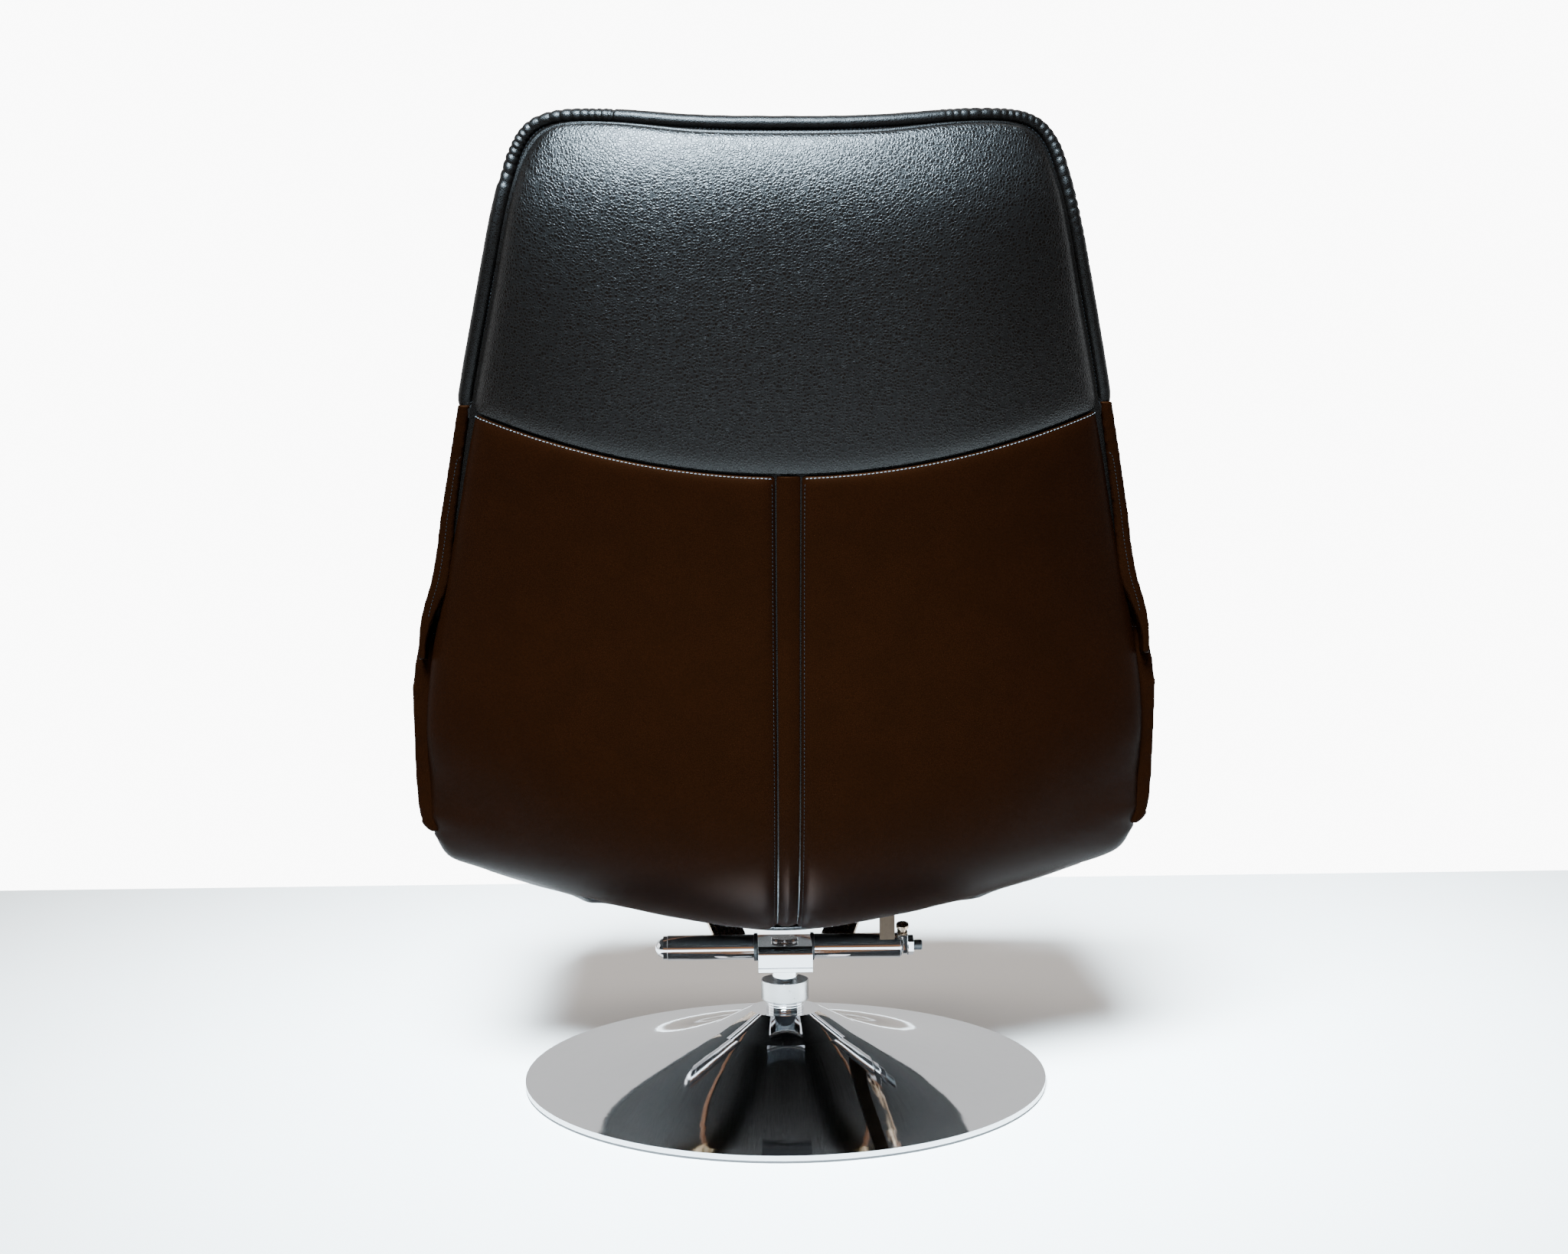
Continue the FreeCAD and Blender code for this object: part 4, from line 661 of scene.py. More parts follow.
class RECLINER_OT_piping(bpy.types.Operator):
    """Add the gathered leather piping round the head, with its stitched flange"""
    bl_idname = "recliner.piping"
    bl_label = "Crown Piping"

    radius = 7.5 * MM
    # Shares of the line's length, from the left seam, where the folds begin, are full, fade and end.
    left_folds = (0.214, 0.222, 0.335, 0.348)
    right_folds = (0.625, 0.65, 0.80, 0.9)
    lap = (0.212, 0.216)           # and where the lap low on the left goes over into the piping

    def execute(self, context):
        skin = Skin("seat_shell")
        centre = self.centre_line()
        data = bpy.data.curves.new("piping_path", "CURVE")
        data.dimensions = "3D"
        data.bevel_depth = self.radius
        data.bevel_resolution = 4
        data.use_fill_caps = True
        spline = data.splines.new("POLY")
        spline.points.add(len(centre) - 1)
        for point, spot in zip(spline.points, centre):
            point.co = (*spot, 1.0)
        mesh = self.swept(data)
        self.gather(mesh, centre)
        finished("head_piping", mesh, "Piping Leather", "seat", ["crown_piping"])
        self.add_flange(skin, centre)
        return {"FINISHED"}

    def swept(self, data):
        """The curve's tube as a bmesh."""
        mesh = as_built(bpy.data.objects.new(data.name, data))
        bmesh.ops.remove_doubles(mesh, verts=mesh.verts, dist=0.01 * MM)
        bmesh.ops.recalc_face_normals(mesh, faces=mesh.faces)
        mesh.normal_update()
        return mesh

    def centre_line(self):
        """The line through the middle of the CAD piping, from the left seam round to the right."""
        groups = {}
        for vert in NODES["crown_piping"].data.vertices:
            turn = math.atan2(vert.co.x, vert.co.z - HEAD_CENTRE)
            groups.setdefault(round(math.degrees(turn)), []).append(vert.co)
        turns = sorted(turn for turn, spots in groups.items() if len(spots) > 5)
        rough = [Vector([(min(p[k] for p in groups[turn]) + max(p[k] for p in groups[turn])) / 2
                         for k in range(3)]) for turn in turns]
        for _ in range(3):
            rough = ([rough[0]] + [(a + b * 2 + c) / 4 for a, b, c in zip(rough, rough[1:], rough[2:])]
                     + [rough[-1]])
        ends = [(rough[i] - rough[j]).normalized() * 6.0 * MM for i, j in ((0, 3), (-1, -4))]
        return even_points([rough[0] + ends[0]] + rough + [rough[-1] + ends[1]], 1100)

    def gathered(self, share, folds):
        """How full the folds are at a share of the line, from 0 to 1."""
        begin, full, fade, end = folds
        return ease(share, begin, full) * (1 - ease(share, fade, end))

    def gather(self, mesh, centre):
        """Folds the leather across the piping at both corners, with a lap low on the left."""
        nearest = KDTree(len(centre))
        for i, spot in enumerate(centre):
            nearest.insert(spot, i)
        nearest.balance()
        total = sum((b - a).length for a, b in zip(centre, centre[1:]))
        for vert in mesh.verts:
            _, i, _ = nearest.find(vert.co)
            share = i / (len(centre) - 1)
            run = share * total
            left = self.gathered(share, self.left_folds)
            right = self.gathered(share, self.right_folds)
            slant = (vert.co - centre[i]).dot(Vector((0.5, -1.0, 0.3))) / self.radius
            wave = run / (8.5 * MM) + 0.3 * slant + 1.5 * crumple(centre[i], 22.0, 9.0)
            fold = abs(math.sin(math.pi * wave)) ** 0.7
            deep = (1.6 * MM * left + 1.2 * MM * right) * (0.7 + 0.7 * crumple(vert.co, 50.0, 2.0))
            lift = -deep * (1 - fold) + 0.9 * MM * (1 - ease(share, *self.lap))
            lift -= 1.2 * MM * math.exp(-((share - self.left_folds[-1]) * total / (1.4 * MM)) ** 2)
            lift += 0.25 * MM * crumple(vert.co, 110.0, 5.0)
            vert.co += vert.normal * lift
        mesh.normal_update()

    def add_flange(self, skin, centre):
        """The narrow stitched band that joins the piping to the panel."""
        mesh = bmesh.new()
        inner, outer = [], []
        for spot in centre[8:-8:8]:
            away = Vector((spot.x, 0.0, spot.z - HEAD_CENTRE)).normalized()
            edge = spot - away * 14.0 * MM
            found = skin.rear(edge.x, edge.z - skin.POLE_HEIGHT, 0.4 * MM)
            inner.append(mesh.verts.new(found or edge))
            outer.append(mesh.verts.new(spot - away * 6.4 * MM + Vector((0, -3.0 * MM, 0))))
        edges = [mesh.edges.new(pair) for line in (outer, inner) for pair in zip(line, line[1:])]
        bmesh.ops.bridge_loops(mesh, edges=edges)
        face_towards(mesh, (0, -1, 0))
        outward = facing(mesh)
        sewn = bmesh.new()
        sew(sewn, [a.co.lerp(b.co, 0.2) for a, b in zip(outer, inner)], outward)
        finished("piping_flange", mesh, "Piping Leather", "seat", thickness=0.8 * MM)
        finished("piping_stitches", sewn, "Dark Thread", "seat")


class RECLINER_OT_lower_panels(bpy.types.Operator):
    """Add the two smooth lower panels and the strip between them"""
    bl_idname = "recliner.lower_panels"
    bl_label = "Lower Back Panels"

    turn_under = math.radians(89.0)
    upright_share = 0.62           # share of a panel's length that lies above the pole
    gap = 0.5 * MM
    side_roll = 11 * MM            # how far the padding rolls out down the side
    hip_roll = 5 * MM              # and how much further just below the pole

    def row_at(self, x, share):
        if share < self.upright_share:
            top = seam_height(x) - 0.4 * MM - Skin.POLE_HEIGHT
            return lerp(top, 0.0, share / self.upright_share)
        return -self.turn_under * (share - self.upright_share) / (1 - self.upright_share)

    def strip_half(self, share):
        """Half the strip's width, which narrows towards the seat."""
        return lerp(STRIP_HIGH.x, STRIP_HIGH.x * 0.84, share)

    def execute(self, context):
        skin = Skin("seat_shell")
        rise = leather_settings().panel_swell
        halves = [skin.half(self.row_at(0.37, i / 60)) for i in range(61)]

        def half_at(share):
            i = min(int(share * 60), 59)
            return lerp(halves[i], halves[i + 1], share * 60 - i) - 1 * MM

        def roll(share):
            """How far the padding rolls out past the shell's side."""
            hip = math.exp(-((share - 0.66) / 0.1) ** 2)
            return lerp(0.0, self.side_roll, ease(share, 0.12, 0.5)) + self.hip_roll * hip

        seam_sewn, strip_sewn = bmesh.new(), bmesh.new()
        for side, sign in (("left", -1), ("right", 1)):
            def place(u, v):
                share = 1.0 - v
                x = lerp(self.strip_half(share) + self.gap, half_at(share), u)
                row = self.row_at(x, share)
                found = (skin.rear(sign * x, row, SHELL_LIFT)
                         or skin.rear(sign * (x - 3 * MM), row, SHELL_LIFT))
                if found is None:
                    raise RuntimeError(f"the lower panel misses the shell at {x}, {row}")
                return found + Vector((sign * roll(share) * ease(u, 0.72, 1.0), 0, 0))

            mesh, layer_u, layer_v = sheet_grid(60, 100, place)
            face_towards(mesh, (0, -1, -0.3))
            relax(mesh, 6)
            width, height = 0.35, 0.66
            for vert in mesh.verts:
                u, v = vert[layer_u], vert[layer_v]
                inner, outer = u * width, (1 - u) * width
                seam, hem = (1 - v) * height, v * height
                lift = swell(min(inner * 1.5, outer), rise * 0.9, 10 * MM)
                lift *= 1 - 0.7 * math.exp(-seam / (8 * MM)) - 0.5 * math.exp(-hem / (10 * MM))
                lift -= 2.2 * MM * (math.exp(-inner / (2.6 * MM)) + math.exp(-outer / (4 * MM)))
                lift -= 1.0 * MM * math.exp(-seam / (3 * MM))
                fade = min(min(inner, outer, seam) / 0.03, 1.0)
                lift += 0.7 * MM * crumple(vert.co, 9.0, 7.0 + sign) * fade
                drag = crumple(Vector((vert.co.x, 0, vert.co.z * 2.4)), 30.0, 2.0)
                lift += 0.45 * MM * drag * math.exp(-outer / 0.05)
                dimple = math.hypot((outer - 0.05) / 0.022, (seam - 0.07) / 0.028)
                lift -= (1.5 if sign < 0 else 0.6) * MM * math.exp(-dimple * dimple)
                lift += 0.8 * MM * math.sin(vert.co.x * 88 + 2 * sign) * math.exp(-hem / 0.04)
                vert.co += vert.normal * lift
            mesh.normal_update()
            rows = [i / 160 for i in range(2, 159)]
            tree = BVHTree.FromBMesh(mesh)

            def lay(x, row):
                found = skin.rear(x, row, SHELL_LIFT)
                spot, normal, _, _ = tree.find_nearest(found)
                return spot + normal * 0.25 * MM

            outward = facing(mesh)
            beside = [lay(sign * (self.strip_half(s) + 5.0 * MM), self.row_at(0.0, s)) for s in rows]
            sew(strip_sewn, beside, outward)
            across = [sign * lerp(self.strip_half(0) + 4 * MM, SEAM_EDGE - 4 * MM, i / 80) for i in range(81)]
            sew(seam_sewn, [lay(x, self.row_at(x, 0.0) - 2.6 * MM) for x in across], outward, 0.05)
            finished(f"lower_panel_{side}", mesh, "Lower Leather", "seat",
                     [f"back_panel_{side}"], levels=1, thickness=LEATHER_THICK)
        finished("cross_seam_stitches", seam_sewn, "Grey Thread", "seat")
        finished("strip_stitches", strip_sewn, "Dark Thread", "seat")
        self.add_strip(skin)
        return {"FINISHED"}

    def add_strip(self, skin):
        def place(u, v):
            x = (2 * u - 1) * self.strip_half(1.0 - v)
            return skin.rear(x, self.row_at(x, 1.0 - v), SHELL_LIFT)

        mesh, layer_u, layer_v = sheet_grid(16, 120, place)
        face_towards(mesh, (0, -1, -0.3))
        relax(mesh, 4)
        for vert in mesh.verts:
            u = vert[layer_u]
            edge = min(u, 1 - u) * 2 * self.strip_half(1 - vert[layer_v])
            lift = swell(edge, 3.4 * MM, 7 * MM) - 2.2 * MM + 0.3 * MM * crumple(vert.co, 34.0)
            vert.co += vert.normal * lift
        finished("back_strip", mesh, "Lower Leather", "seat", ["centre_strip"],
                 levels=1, thickness=LEATHER_THICK)


# ---------------------------------------------------------------- pads and cushions


def closed_copy(name, voxel):
    """A CAD node's shape as one even closed mesh."""
    copy = bmesh.new()
    copy.from_mesh(NODES[name].data)
    bmesh.ops.remove_doubles(copy, verts=copy.verts, dist=0.02 * MM)
    data = bpy.data.meshes.new(name + "_even")
    copy.to_mesh(data)
    copy.free()
    holder = bpy.data.objects.new(name + "_even", data)
    even = holder.modifiers.new("Even", "REMESH")
    even.mode = "VOXEL"
    even.voxel_size = voxel
    mesh = as_built(holder)
    largest = max(piece_sets(mesh), key=len)
    bmesh.ops.delete(mesh, geom=[vert for vert in mesh.verts if vert not in largest], context="VERTS")
    bmesh.ops.recalc_face_normals(mesh, faces=mesh.faces)
    mesh.normal_update()
    return mesh


def piece_sets(mesh):
    """The connected groups of a mesh's vertices."""
    left, groups = set(mesh.verts), []
    while left:
        group, edge = set(), [left.pop()]
        while edge:
            vert = edge.pop()
            group.add(vert)
            for link in vert.link_edges:
                other = link.other_vert(vert)
                if other in left:
                    left.remove(other)
                    edge.append(other)
        groups.append(group)
    return groups


class RECLINER_OT_cushions(bpy.types.Operator):
    """Add the padded seat and back cushions"""
    bl_idname = "recliner.cushions"
    bl_label = "Cushions"

    voxel = 5 * MM
    back_rounds, seat_rounds = 45, 25          # rounds of smoothing, which take off the voxels' steps

    def execute(self, context):
        self.add_back()
        self.add_seat()
        return {"FINISHED"}

    def quilt(self, mesh, seams, height, reach, faces_out, channel=2.6 * MM):
        """Swells a cushion between its seams. A seam is a function from a point to its distance."""
        for vert in mesh.verts:
            out = ease(vert.normal.dot(faces_out), -0.2, 0.5)
            near = min(seam(vert.co) for seam in seams)
            lift = swell(near, height, reach) - height * 0.45 - channel * math.exp(-near / (3.2 * MM))
            tuck = crumple(vert.co, 42.0, 4.0) * math.exp(-near / 0.02)
            soft = crumple(vert.co, 12.0, 8.0)
            vert.co += vert.normal * (out * (lift + 0.9 * MM * tuck) + 0.8 * MM * soft)
        mesh.normal_update()

    def add_back(self):
        low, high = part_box("back_cushion")
        mesh = closed_copy("back_cushion", self.voxel)
        even_out(mesh, mesh.verts, self.back_rounds)
        pillow, lumbar = lerp(low.z, high.z, 0.70), lerp(low.z, high.z, 0.34)
        side = high.x * 0.56

        def bolster(p):
            """The seam between the middle and a side bolster, which leans in towards the head."""
            return abs(abs(p.x) - side * lerp(1.06, 0.86, (p.z - low.z) / (high.z - low.z)))

        def level(height, bow):
            return lambda p: (abs(p.z - height - bow * (1 - (p.x / side) ** 2))
                              if abs(p.x) < side * 1.02 else bolster(p))

        self.quilt(mesh, [bolster, level(pillow, -12 * MM), level(lumbar, 10 * MM)], 9 * MM, 26 * MM,
                   Vector((0, 1, 0)))
        piece = finished("back_cushion_cover", mesh, "Upper Leather", "seat",
                         ["back_cushion", "back_cushion_foam"])

    def add_seat(self):
        low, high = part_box("seat_cushion")
        mesh = closed_copy("seat_cushion", self.voxel)
        even_out(mesh, mesh.verts, self.seat_rounds)
        side = high.x * 0.74
        cross = lerp(low.y, high.y, 0.62)

        def bolster(p):
            return abs(abs(p.x) - side)

        def front(p):
            return abs(p.y - cross - 14 * MM * (1 - (p.x / side) ** 2)) if abs(p.x) < side else bolster(p)

        self.quilt(mesh, [bolster, front], 9 * MM, 28 * MM, Vector((0, 0.25, 1)).normalized())
        piece = finished("seat_cushion_cover", mesh, "Upper Leather", "seat",
                         ["seat_cushion", "seat_cushion_foam"])


class RECLINER_OT_side_pads(bpy.types.Operator):
    """Add the wings and the padded armrests"""
    bl_idname = "recliner.side_pads"
    bl_label = "Wings And Armrests"

    # A wing's cover runs past its CAD node, up to the piping and down into the armrest's corner.
    stretch_up, stretch_down = 1.045, 1.36

    def execute(self, context):
        for side, sign in (("left", -1), ("right", 1)):
            self.add_wing(side, sign)
            self.add_armrest(side, sign)
        return {"FINISHED"}

    def add_wing(self, side, sign):
        """A folded strip that runs on from the piping down to the armrest."""
        low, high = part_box(f"{side}_wing")
        mesh = closed_copy(f"{side}_wing", 3 * MM)
        even_out(mesh, mesh.verts, 3)
        middle = (low.z + high.z) / 2
        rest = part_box(f"{side}_armrest")[0].y
        for vert in mesh.verts:
            vert.co.z = middle + (vert.co.z - middle) * (self.stretch_up if vert.co.z > middle
                                                       else self.stretch_down)
            vert.co += vert.normal * (0.6 * MM + 0.4 * MM * crumple(vert.co, 12.0, sign))
            foot = 1 - ease(vert.co.z, low.z - 12 * MM, low.z + 62 * MM)
            end = 1 - ease(vert.co.z, low.z - 34 * MM, low.z - 4 * MM)
            vert.co.x += sign * 2.5 * MM * foot
            narrow = 0.7 * (1 - ease(vert.co.z, low.z - 34 * MM, low.z + 50 * MM))
            vert.co.x = lerp(vert.co.x, sign * max(abs(low.x), abs(high.x)), narrow)
            vert.co.y = lerp(vert.co.y, max(vert.co.y, rest + lerp(-1 * MM, 20 * MM, end)), foot)
        mesh.normal_update()
        outward = facing(mesh)
        tree = BVHTree.FromBMesh(mesh)
        line = []
        for i in range(60):
            height = lerp(low.z + 6 * MM, high.z - 3 * MM, i / 59)
            x = max(abs(low.x), abs(high.x)) + 0.02
            edge, _, _, _ = tree.ray_cast(Vector((sign * x, (low.y + high.y) / 2 - 0.01, height)),
                                          Vector((-sign, 0, 0)))
            if edge is None:
                continue
            spot, normal, _, _ = tree.ray_cast(Vector((edge.x - sign * 8.5 * MM, -1.0, height)),
                                               Vector((0, 1, 0)))
            if spot is not None:
                line.append(spot + normal * 0.2 * MM)
        sewn = bmesh.new()
        sew(sewn, line, outward)
        finished(f"{side}_wing_stitches", sewn, "Dark Thread", "seat")
        piece = finished(f"{side}_wing_cover", mesh, "Lower Leather", "seat",
                         [f"{side}_wing"])

    def add_armrest(self, side, sign):
        """A flat pad with a sewn border round its outer face and its top."""
        low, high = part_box(f"{side}_armrest")
        mesh = closed_copy(f"{side}_armrest", 4 * MM)
        even_out(mesh, mesh.verts, 5)
        border = 16 * MM
        for vert in mesh.verts:
            depth_in = min(vert.co.y - low.y, high.y - vert.co.y, vert.co.z - low.z, high.z - vert.co.z)
            flank = ease(vert.normal.x * sign, 0.5, 0.95)
            top = ease(vert.normal.z, 0.5, 0.95)
            ends = min(vert.co.y - low.y, high.y - vert.co.y)
            sides = min(vert.co.x - low.x, high.x - vert.co.x)
            puff = flank * (swell(depth_in - border, 3.5 * MM, 30 * MM)
                            - 1.8 * MM * math.exp(-abs(depth_in - border) / (2.6 * MM)))
            puff += top * swell(min(ends, sides), 4.0 * MM, 22 * MM)
            puff += 0.5 * MM * crumple(vert.co, 10.0, sign) + 0.2 * MM * crumple(vert.co, 50.0, 3.0) * flank
            vert.co += vert.normal * (puff - 0.5 * MM)
        mesh.normal_update()
        outward = facing(mesh)
        tree = BVHTree.FromBMesh(mesh)
        x = sign * 0.6
        inset = border - 4 * MM
        frame_line = [(low.y + inset, low.z + inset), (low.y + inset, high.z - inset),
                      (high.y - inset - 0.02, high.z - inset), (high.y - inset, high.z - inset - 0.02),
                      (high.y - inset, low.z + inset + 0.02), (high.y - inset - 0.02, low.z + inset),
                      (low.y + inset, low.z + inset)]
        dense = even_points([Vector((x, y, z)) for y, z in frame_line], 400)
        line = []
        for spot in dense:
            found, normal, _, _ = tree.ray_cast(spot, Vector((-sign, 0, 0)))
            if found is not None and normal.x * sign > 0.4:
                line.append(found + normal * 0.1 * MM)
        sewn = bmesh.new()
        sew(sewn, line, outward)
        finished(f"{side}_armrest_stitches", sewn, "Dark Thread", "seat")
        piece = finished(f"{side}_armrest_cover", mesh, "Lower Leather", "seat",
                         [f"{side}_armrest", f"{side}_armrest_foam"])


class RECLINER_OT_underside(bpy.types.Operator):
    """Add the leathercloth under the seat and the hem where the back's cover meets it"""
    bl_idname = "recliner.underside"
    bl_label = "Seat Underside"

    hem_rows = ((81.0, 3.0), (88.5, 11.5), (96.0, 4.0))        # turn round the pole, degrees; lift, mm
    loose_spots = ((-0.222, 0.012, 1.0), (0.214, 0.016, 0.8))  # place, width and share of the full lift

    def execute(self, context):
        mesh = closed_copy("seat_underside", 4 * MM)
        even_out(mesh, mesh.verts, 2)
        for vert in mesh.verts:
            vert.co += vert.normal * (0.5 * MM + 0.8 * MM * crumple(vert.co, 14.0, 6.0))
        mesh.normal_update()
        finished("underside_cover", mesh, "Underside Cloth", "seat", ["seat_underside"])
        self.add_hem()
        return {"FINISHED"}

    def add_hem(self):
        """A turned edge along the foot of the lower panels, loose in two places."""
        skin = Skin("seat_shell")
        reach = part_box("back_panel_right")[1].x * 0.87
        mesh = bmesh.new()
        rows = [[], [], []]
        for i in range(181):
            x = lerp(-reach, reach, i / 180)
            loose = sum(share * math.exp(-((x - spot) / width) ** 2)
                        for spot, width, share in self.loose_spots)
            wave = 0.6 * MM * crumple(Vector((x, 0.0, 0.0)), 26.0, 4.0)
            for row, (turn, lift) in zip(rows, self.hem_rows):
                spot = skin.rear(x, -math.radians(turn), lift * MM + wave + 3.5 * MM * loose)
                row.append(mesh.verts.new(spot))
        for near, far in zip(rows, rows[1:]):
            edges = [mesh.edges.get(pair) or mesh.edges.new(pair)
                     for line in (near, far) for pair in zip(line, line[1:])]
            bmesh.ops.bridge_loops(mesh, edges=edges)
        face_towards(mesh, (0, -0.2, -1))
        finished("cover_hem", mesh, "Piping Leather", "seat", levels=1,
                 thickness=LEATHER_THICK)


# ---------------------------------------------------------------- metalwork


class RECLINER_OT_metalwork(bpy.types.Operator):
    """Give every CAD node of the base, head and irons its finish"""
    bl_idname = "recliner.metalwork"
    bl_label = "Metal Finishes"

    FINISHES = {
        "chrome": "Chrome", "bright_steel": "Satin Steel", "dark_steel": "Dark Steel",
        "nylon": "Black Nylon", "floor_pad": "Rubber", "bronze": "Bronze",
        "upper_leather": "Upper Leather", "lower_leather": "Lower Leather",
        "underside_leather": "Underside Cloth", "plywood": "Beech Ply",
        "foam": "Beech Ply",       # never seen, as a cover stands for every foam
    }
    OWN_FINISHES = {"seat_shell": "Piping Leather", "seat_strut": "Brown Steel", "cap_bolt": "Satin Steel",
                    "bearing_collar": "Satin Steel", "left_seat_iron": "Bronze", "right_seat_iron": "Bronze"}
    MACHINED = (
        "swivel_bracket", "cap_bolt", "axle_cap", "left_sleeve", "right_sleeve", "bearing_collar",
        "neck_sleeve", "spindle", "tension_nut", "stud_cap", "brake_lever", "lever_post", "seat_strut",
        "left_seat_iron", "right_seat_iron", "left_washer", "right_washer",
    )

    def execute(self, context):
        slots = {entry["node"]: entry["material_slot"] for entry in frame["record"]["subparts"]}
        for name, node in NODES.items():
            node.data.materials.clear()
            finish = self.OWN_FINISHES.get(name) or self.FINISHES[slots[name]]
            node.data.materials.append(finish_material(finish))
        for name in self.MACHINED:
            self.break_edges(NODES[name])
        self.add_knurl()
        return {"FINISHED"}

    def break_edges(self, node):
        """Rounds a machined piece's sharp edges a little, so that they catch the light."""
        width = metal_settings().edge_break
        weld = node.modifiers.new("Weld", "WELD")
        weld.merge_threshold = 0.01 * MM
        edge = node.modifiers.new("Edge Break", "BEVEL")
        edge.width = width
        edge.segments = 2
        edge.limit_method = "ANGLE"
        edge.angle_limit = math.radians(40.0)
        edge.use_clamp_overlap = True
        shade = node.modifiers.new("Shading", "WEIGHTED_NORMAL")
        shade.keep_sharp = False

    def add_knurl(self):
        """The ribbed rim round the cap bolt's head."""
        low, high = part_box("cap_bolt")
        radius = (high.x - low.x) / 2
        top = high.z - 0.5 * MM
        ribs = 96
        mesh = bmesh.new()
        ring = bmesh.ops.create_circle(mesh, segments=ribs * 2, radius=radius + 0.15 * MM)["verts"]
        middle = Vector(((low.x + high.x) / 2, (low.y + high.y) / 2, 0.0))
        for vert in ring:
            rib = round(math.atan2(vert.co.y, vert.co.x) / math.pi * ribs) % 2
            vert.co = vert.co * (1.0 if rib else 1.03) + middle + Vector((0, 0, top - 2.4 * MM))
        grown = bmesh.ops.extrude_edge_only(mesh, edges=mesh.edges[:])["geom"]
        upper = [part for part in grown if isinstance(part, bmesh.types.BMVert)]
        bmesh.ops.translate(mesh, verts=upper, vec=(0, 0, 2.4 * MM))
        bmesh.ops.recalc_face_normals(mesh, faces=mesh.faces)
        finished("cap_knurl", mesh, "Chrome", "swivel", smooth=False, thickness=0.4 * MM)


# ---------------------------------------------------------------- studio


WALL_GLARE = 10.0      # how bright the background looks to the camera


def room_object(name, mesh, material):
    """Makes a bmesh an object with its material, for the room round the chair."""
    data = bpy.data.meshes.new(name)
    mesh.to_mesh(data)
    mesh.free()
    data.materials.append(material)
    piece = bpy.data.objects.new(name, data)
    bpy.context.scene.collection.objects.link(piece)
    return piece


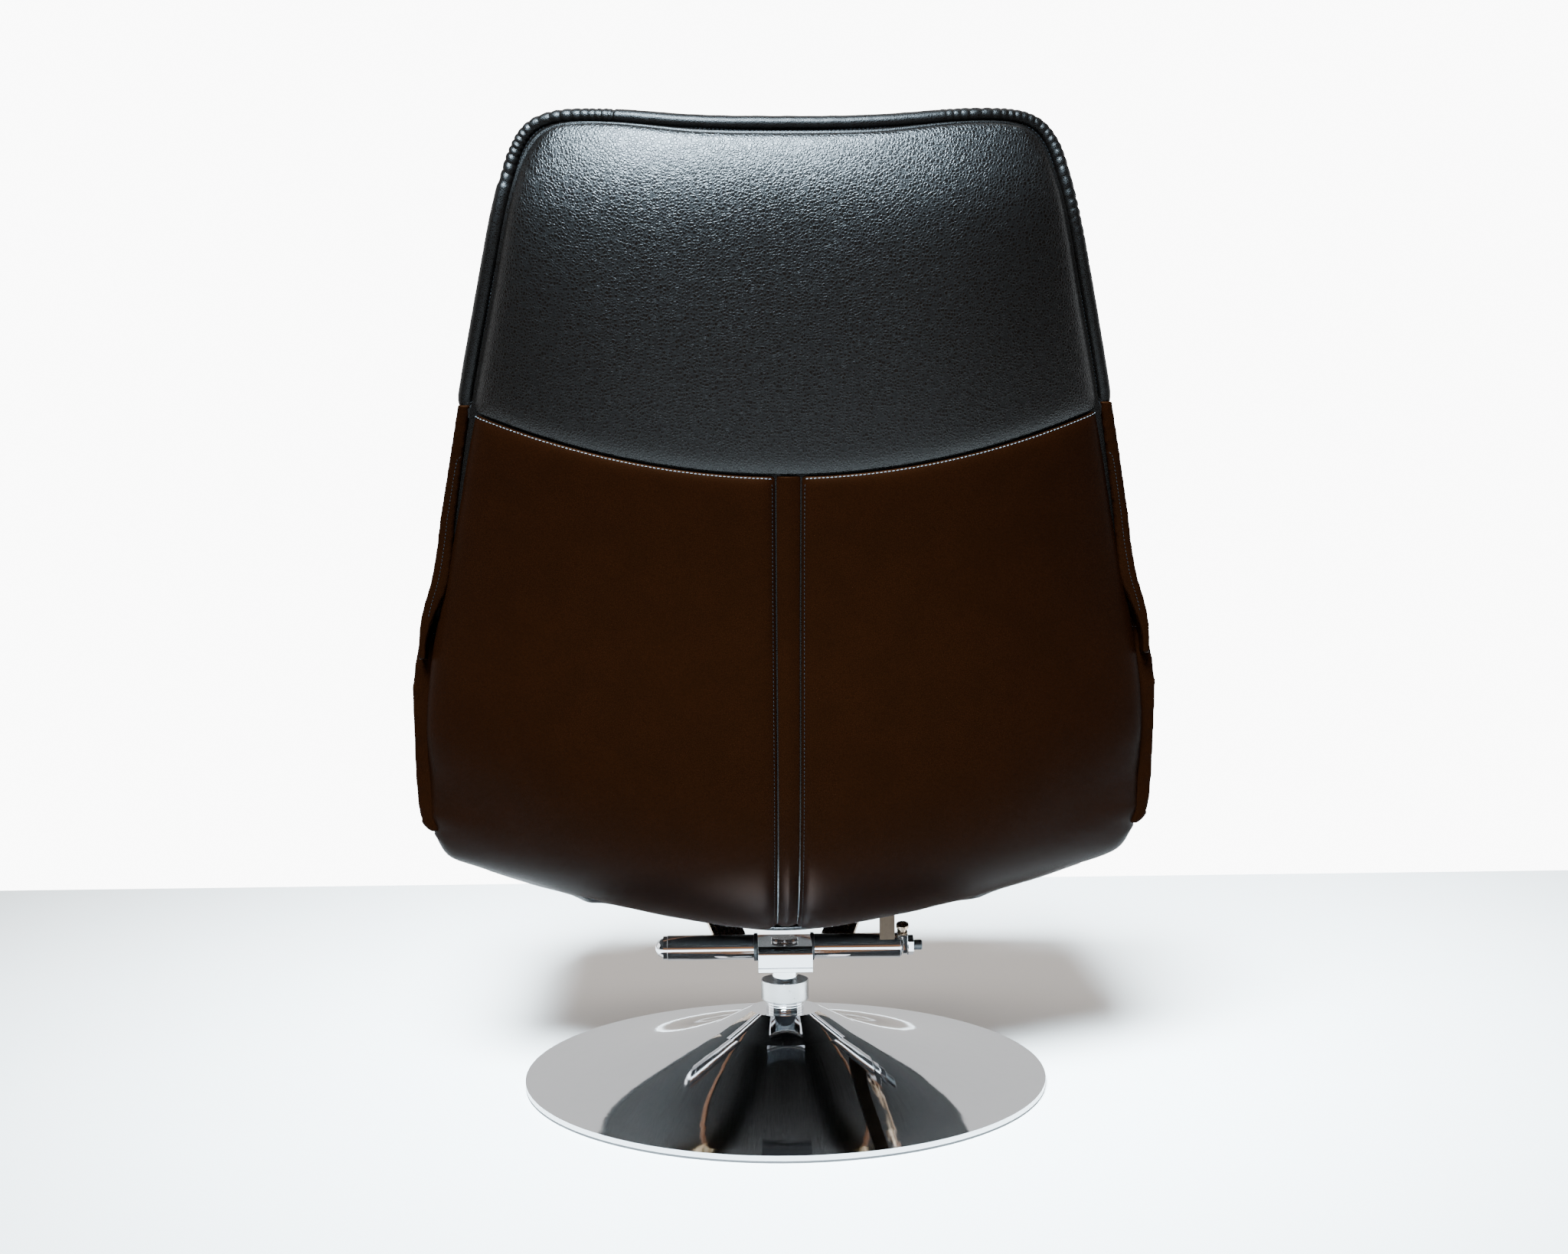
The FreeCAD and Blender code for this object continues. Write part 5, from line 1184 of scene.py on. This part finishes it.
class RECLINER_OT_studio(bpy.types.Operator):
    """Add the floor, the soft lights and the camera"""
    bl_idname = "recliner.studio"
    bl_label = "Studio"

    # Name, place, target, size, watts, colour and the spread of its beam in degrees.
    LIGHTS = (
        ("ceiling", (0.0, 0.6, 2.8), (0.0, 0.3, 0.0), (3.0, 1.4), 36.0, (1.0, 0.98, 0.95), 180),
        ("key_window", (-0.5, -2.35, 2.92), (0.0, -0.3, 0.95), (1.5, 1.4), 370.0, (0.66, 0.85, 1.0), 48),
        ("left_wall", (-2.4, 0.4, 1.0), (0.0, 0.0, 0.2), (2.0, 1.8), 25.0, (0.97, 0.99, 1.0), 180),
        ("right_wall", (2.4, 0.4, 1.0), (0.0, 0.0, 0.2), (2.0, 1.8), 25.0, (0.93, 0.97, 1.0), 180),
        ("floor_bounce", (0.0, -1.9, 0.03), (0.0, -0.3, 0.4), (2.6, 1.2), 3.0, (1.0, 0.45, 0.18), 180),
    )

    def execute(self, context):
        settings = studio_settings()
        self.add_floor(settings)
        self.add_wall()
        self.add_world()
        self.add_lights()
        self.add_camera(settings)
        return {"FINISHED"}

    def add_floor(self, settings):
        mesh = bmesh.new()
        bmesh.ops.create_grid(mesh, x_segments=8, y_segments=8, size=6.0)
        material, tree, surface, place = new_material("Pale Floor", roughness=0.55)
        cloud = add_node(tree, "ShaderNodeTexNoise", scale=3.0, detail=4.0)
        tree.links.new(place, cloud.inputs["Vector"])
        colour = tuple(settings.floor_colour)
        shade = shaded(colour, 0.95)
        tree.links.new(mix_colour(tree, cloud.outputs["Fac"], shade, colour), surface.inputs["Base Color"])
        floor = room_object("floor", mesh, material)

    def add_wall(self):
        """A white wall beyond the chair. From its other side it can be seen through."""
        mesh = bmesh.new()
        bmesh.ops.create_grid(mesh, x_segments=2, y_segments=2, size=1.0)
        across = Matrix(((4.0, 0, 0, 0), (0, 0, 1.0, 1.2), (0, 1.5, 0, 1.5), (0, 0, 0, 1)))
        bmesh.ops.transform(mesh, matrix=across, verts=mesh.verts)
        face_towards(mesh, (0, -1, 0))
        material = bpy.data.materials.new("White Wall")
        material.use_nodes = True
        tree = material.node_tree
        tree.nodes.clear()
        seen = tree.nodes.new("ShaderNodeLightPath").outputs["Is Camera Ray"]
        behind = tree.nodes.new("ShaderNodeNewGeometry").outputs["Backfacing"]
        paint = tree.nodes.new("ShaderNodeEmission")
        glow = tree.nodes.new("ShaderNodeMapRange")
        glow.inputs["To Min"].default_value = 0.85
        glow.inputs["To Max"].default_value = WALL_GLARE
        tree.links.new(seen, glow.inputs["Value"])
        tree.links.new(glow.outputs["Result"], paint.inputs["Strength"])
        clear = tree.nodes.new("ShaderNodeBsdfTransparent")
        either = tree.nodes.new("ShaderNodeMixShader")
        end = tree.nodes.new("ShaderNodeOutputMaterial")
        tree.links.new(behind, either.inputs[0])
        tree.links.new(paint.outputs[0], either.inputs[1])
        tree.links.new(clear.outputs[0], either.inputs[2])
        tree.links.new(either.outputs[0], end.inputs["Surface"])
        wall = room_object("wall", mesh, material)

    def add_world(self):
        world = bpy.data.worlds.new("Studio")
        bpy.context.scene.world = world
        world.use_nodes = True
        tree = world.node_tree
        room = tree.nodes["Background"]
        room.inputs["Color"].default_value = (0.86, 0.93, 1.0, 1.0)
        room.inputs["Strength"].default_value = 0.05
        wall = tree.nodes.new("ShaderNodeBackground")
        wall.inputs["Color"].default_value = (1.0, 1.0, 1.0, 1.0)
        wall.inputs["Strength"].default_value = WALL_GLARE
        seen = tree.nodes.new("ShaderNodeLightPath").outputs["Is Camera Ray"]
        either = tree.nodes.new("ShaderNodeMixShader")
        tree.links.new(seen, either.inputs[0])
        tree.links.new(room.outputs[0], either.inputs[1])
        tree.links.new(wall.outputs[0], either.inputs[2])
        tree.links.new(either.outputs[0], tree.nodes["World Output"].inputs["Surface"])

    def add_light(self, name, place, target, size, power, colour, spread):
        data = bpy.data.lights.new(name, "AREA")
        data.spread = math.radians(spread)
        data.shape = "RECTANGLE"
        data.size, data.size_y = size
        data.energy = power
        data.color = colour
        light = bpy.data.objects.new(name, data)
        light.location = place
        light.visible_camera = False
        light.rotation_euler = (Vector(target) - Vector(place)).to_track_quat("-Z", "Y").to_euler()
        bpy.context.scene.collection.objects.link(light)

    def add_lights(self):
        for light in self.LIGHTS:
            self.add_light(*light)

    def add_camera(self, settings):
        forward = Vector((math.sin(settings.yaw) * math.cos(settings.pitch),
                          math.cos(settings.yaw) * math.cos(settings.pitch), -math.sin(settings.pitch)))
        level = Vector((math.cos(settings.yaw), -math.sin(settings.yaw), 0.0))
        upright = level.cross(forward)
        right = level * math.cos(settings.roll) - upright * math.sin(settings.roll)
        up = upright * math.cos(settings.roll) + level * math.sin(settings.roll)
        data = bpy.data.cameras.new("camera")
        data.sensor_width = 36.0
        data.lens = settings.lens
        camera = bpy.data.objects.new("camera", data)
        camera.matrix_world = Matrix.Translation(settings.eye) @ Matrix(
            (right, up, -forward)).transposed().to_4x4()
        bpy.context.scene.collection.objects.link(camera)
        bpy.context.scene.camera = camera


# ---------------------------------------------------------------- panel and run


PIECES = (
    RECLINER_OT_metalwork, RECLINER_OT_upper_panel, RECLINER_OT_piping, RECLINER_OT_lower_panels,
    RECLINER_OT_side_pads, RECLINER_OT_cushions, RECLINER_OT_underside, RECLINER_OT_studio,
)


class RECLINER_PT_pieces(bpy.types.Panel):
    """Lists the pieces and their settings"""
    bl_idname = "RECLINER_PT_pieces"
    bl_label = "Swivel Recliner"
    bl_space_type = "VIEW_3D"
    bl_region_type = "UI"
    bl_category = "Recliner"

    def draw(self, context):
        for group in ("recliner_leather", "recliner_metal", "recliner_studio"):
            settings = getattr(context.scene, group)
            for name in settings.__annotations__:
                self.layout.prop(settings, name)
        for piece in PIECES:
            self.layout.operator(piece.bl_idname)


SETTINGS = {
    "recliner_leather": LeatherSettings, "recliner_metal": MetalSettings, "recliner_studio": StudioSettings,
}


def register():
    for settings in SETTINGS.values():
        bpy.utils.register_class(settings)
    for name, settings in SETTINGS.items():
        setattr(bpy.types.Scene, name, bpy.props.PointerProperty(type=settings))
    for piece in PIECES + (RECLINER_PT_pieces,):
        bpy.utils.register_class(piece)


def unregister():
    for piece in reversed(PIECES + (RECLINER_PT_pieces,)):
        bpy.utils.unregister_class(piece)
    for name, settings in SETTINGS.items():
        delattr(bpy.types.Scene, name)
        bpy.utils.unregister_class(settings)


def main():
    register()
    for piece in PIECES:
        family, name = piece.bl_idname.split(".")
        getattr(getattr(bpy.ops, family), name)()


if __name__ == "__main__":
    main()
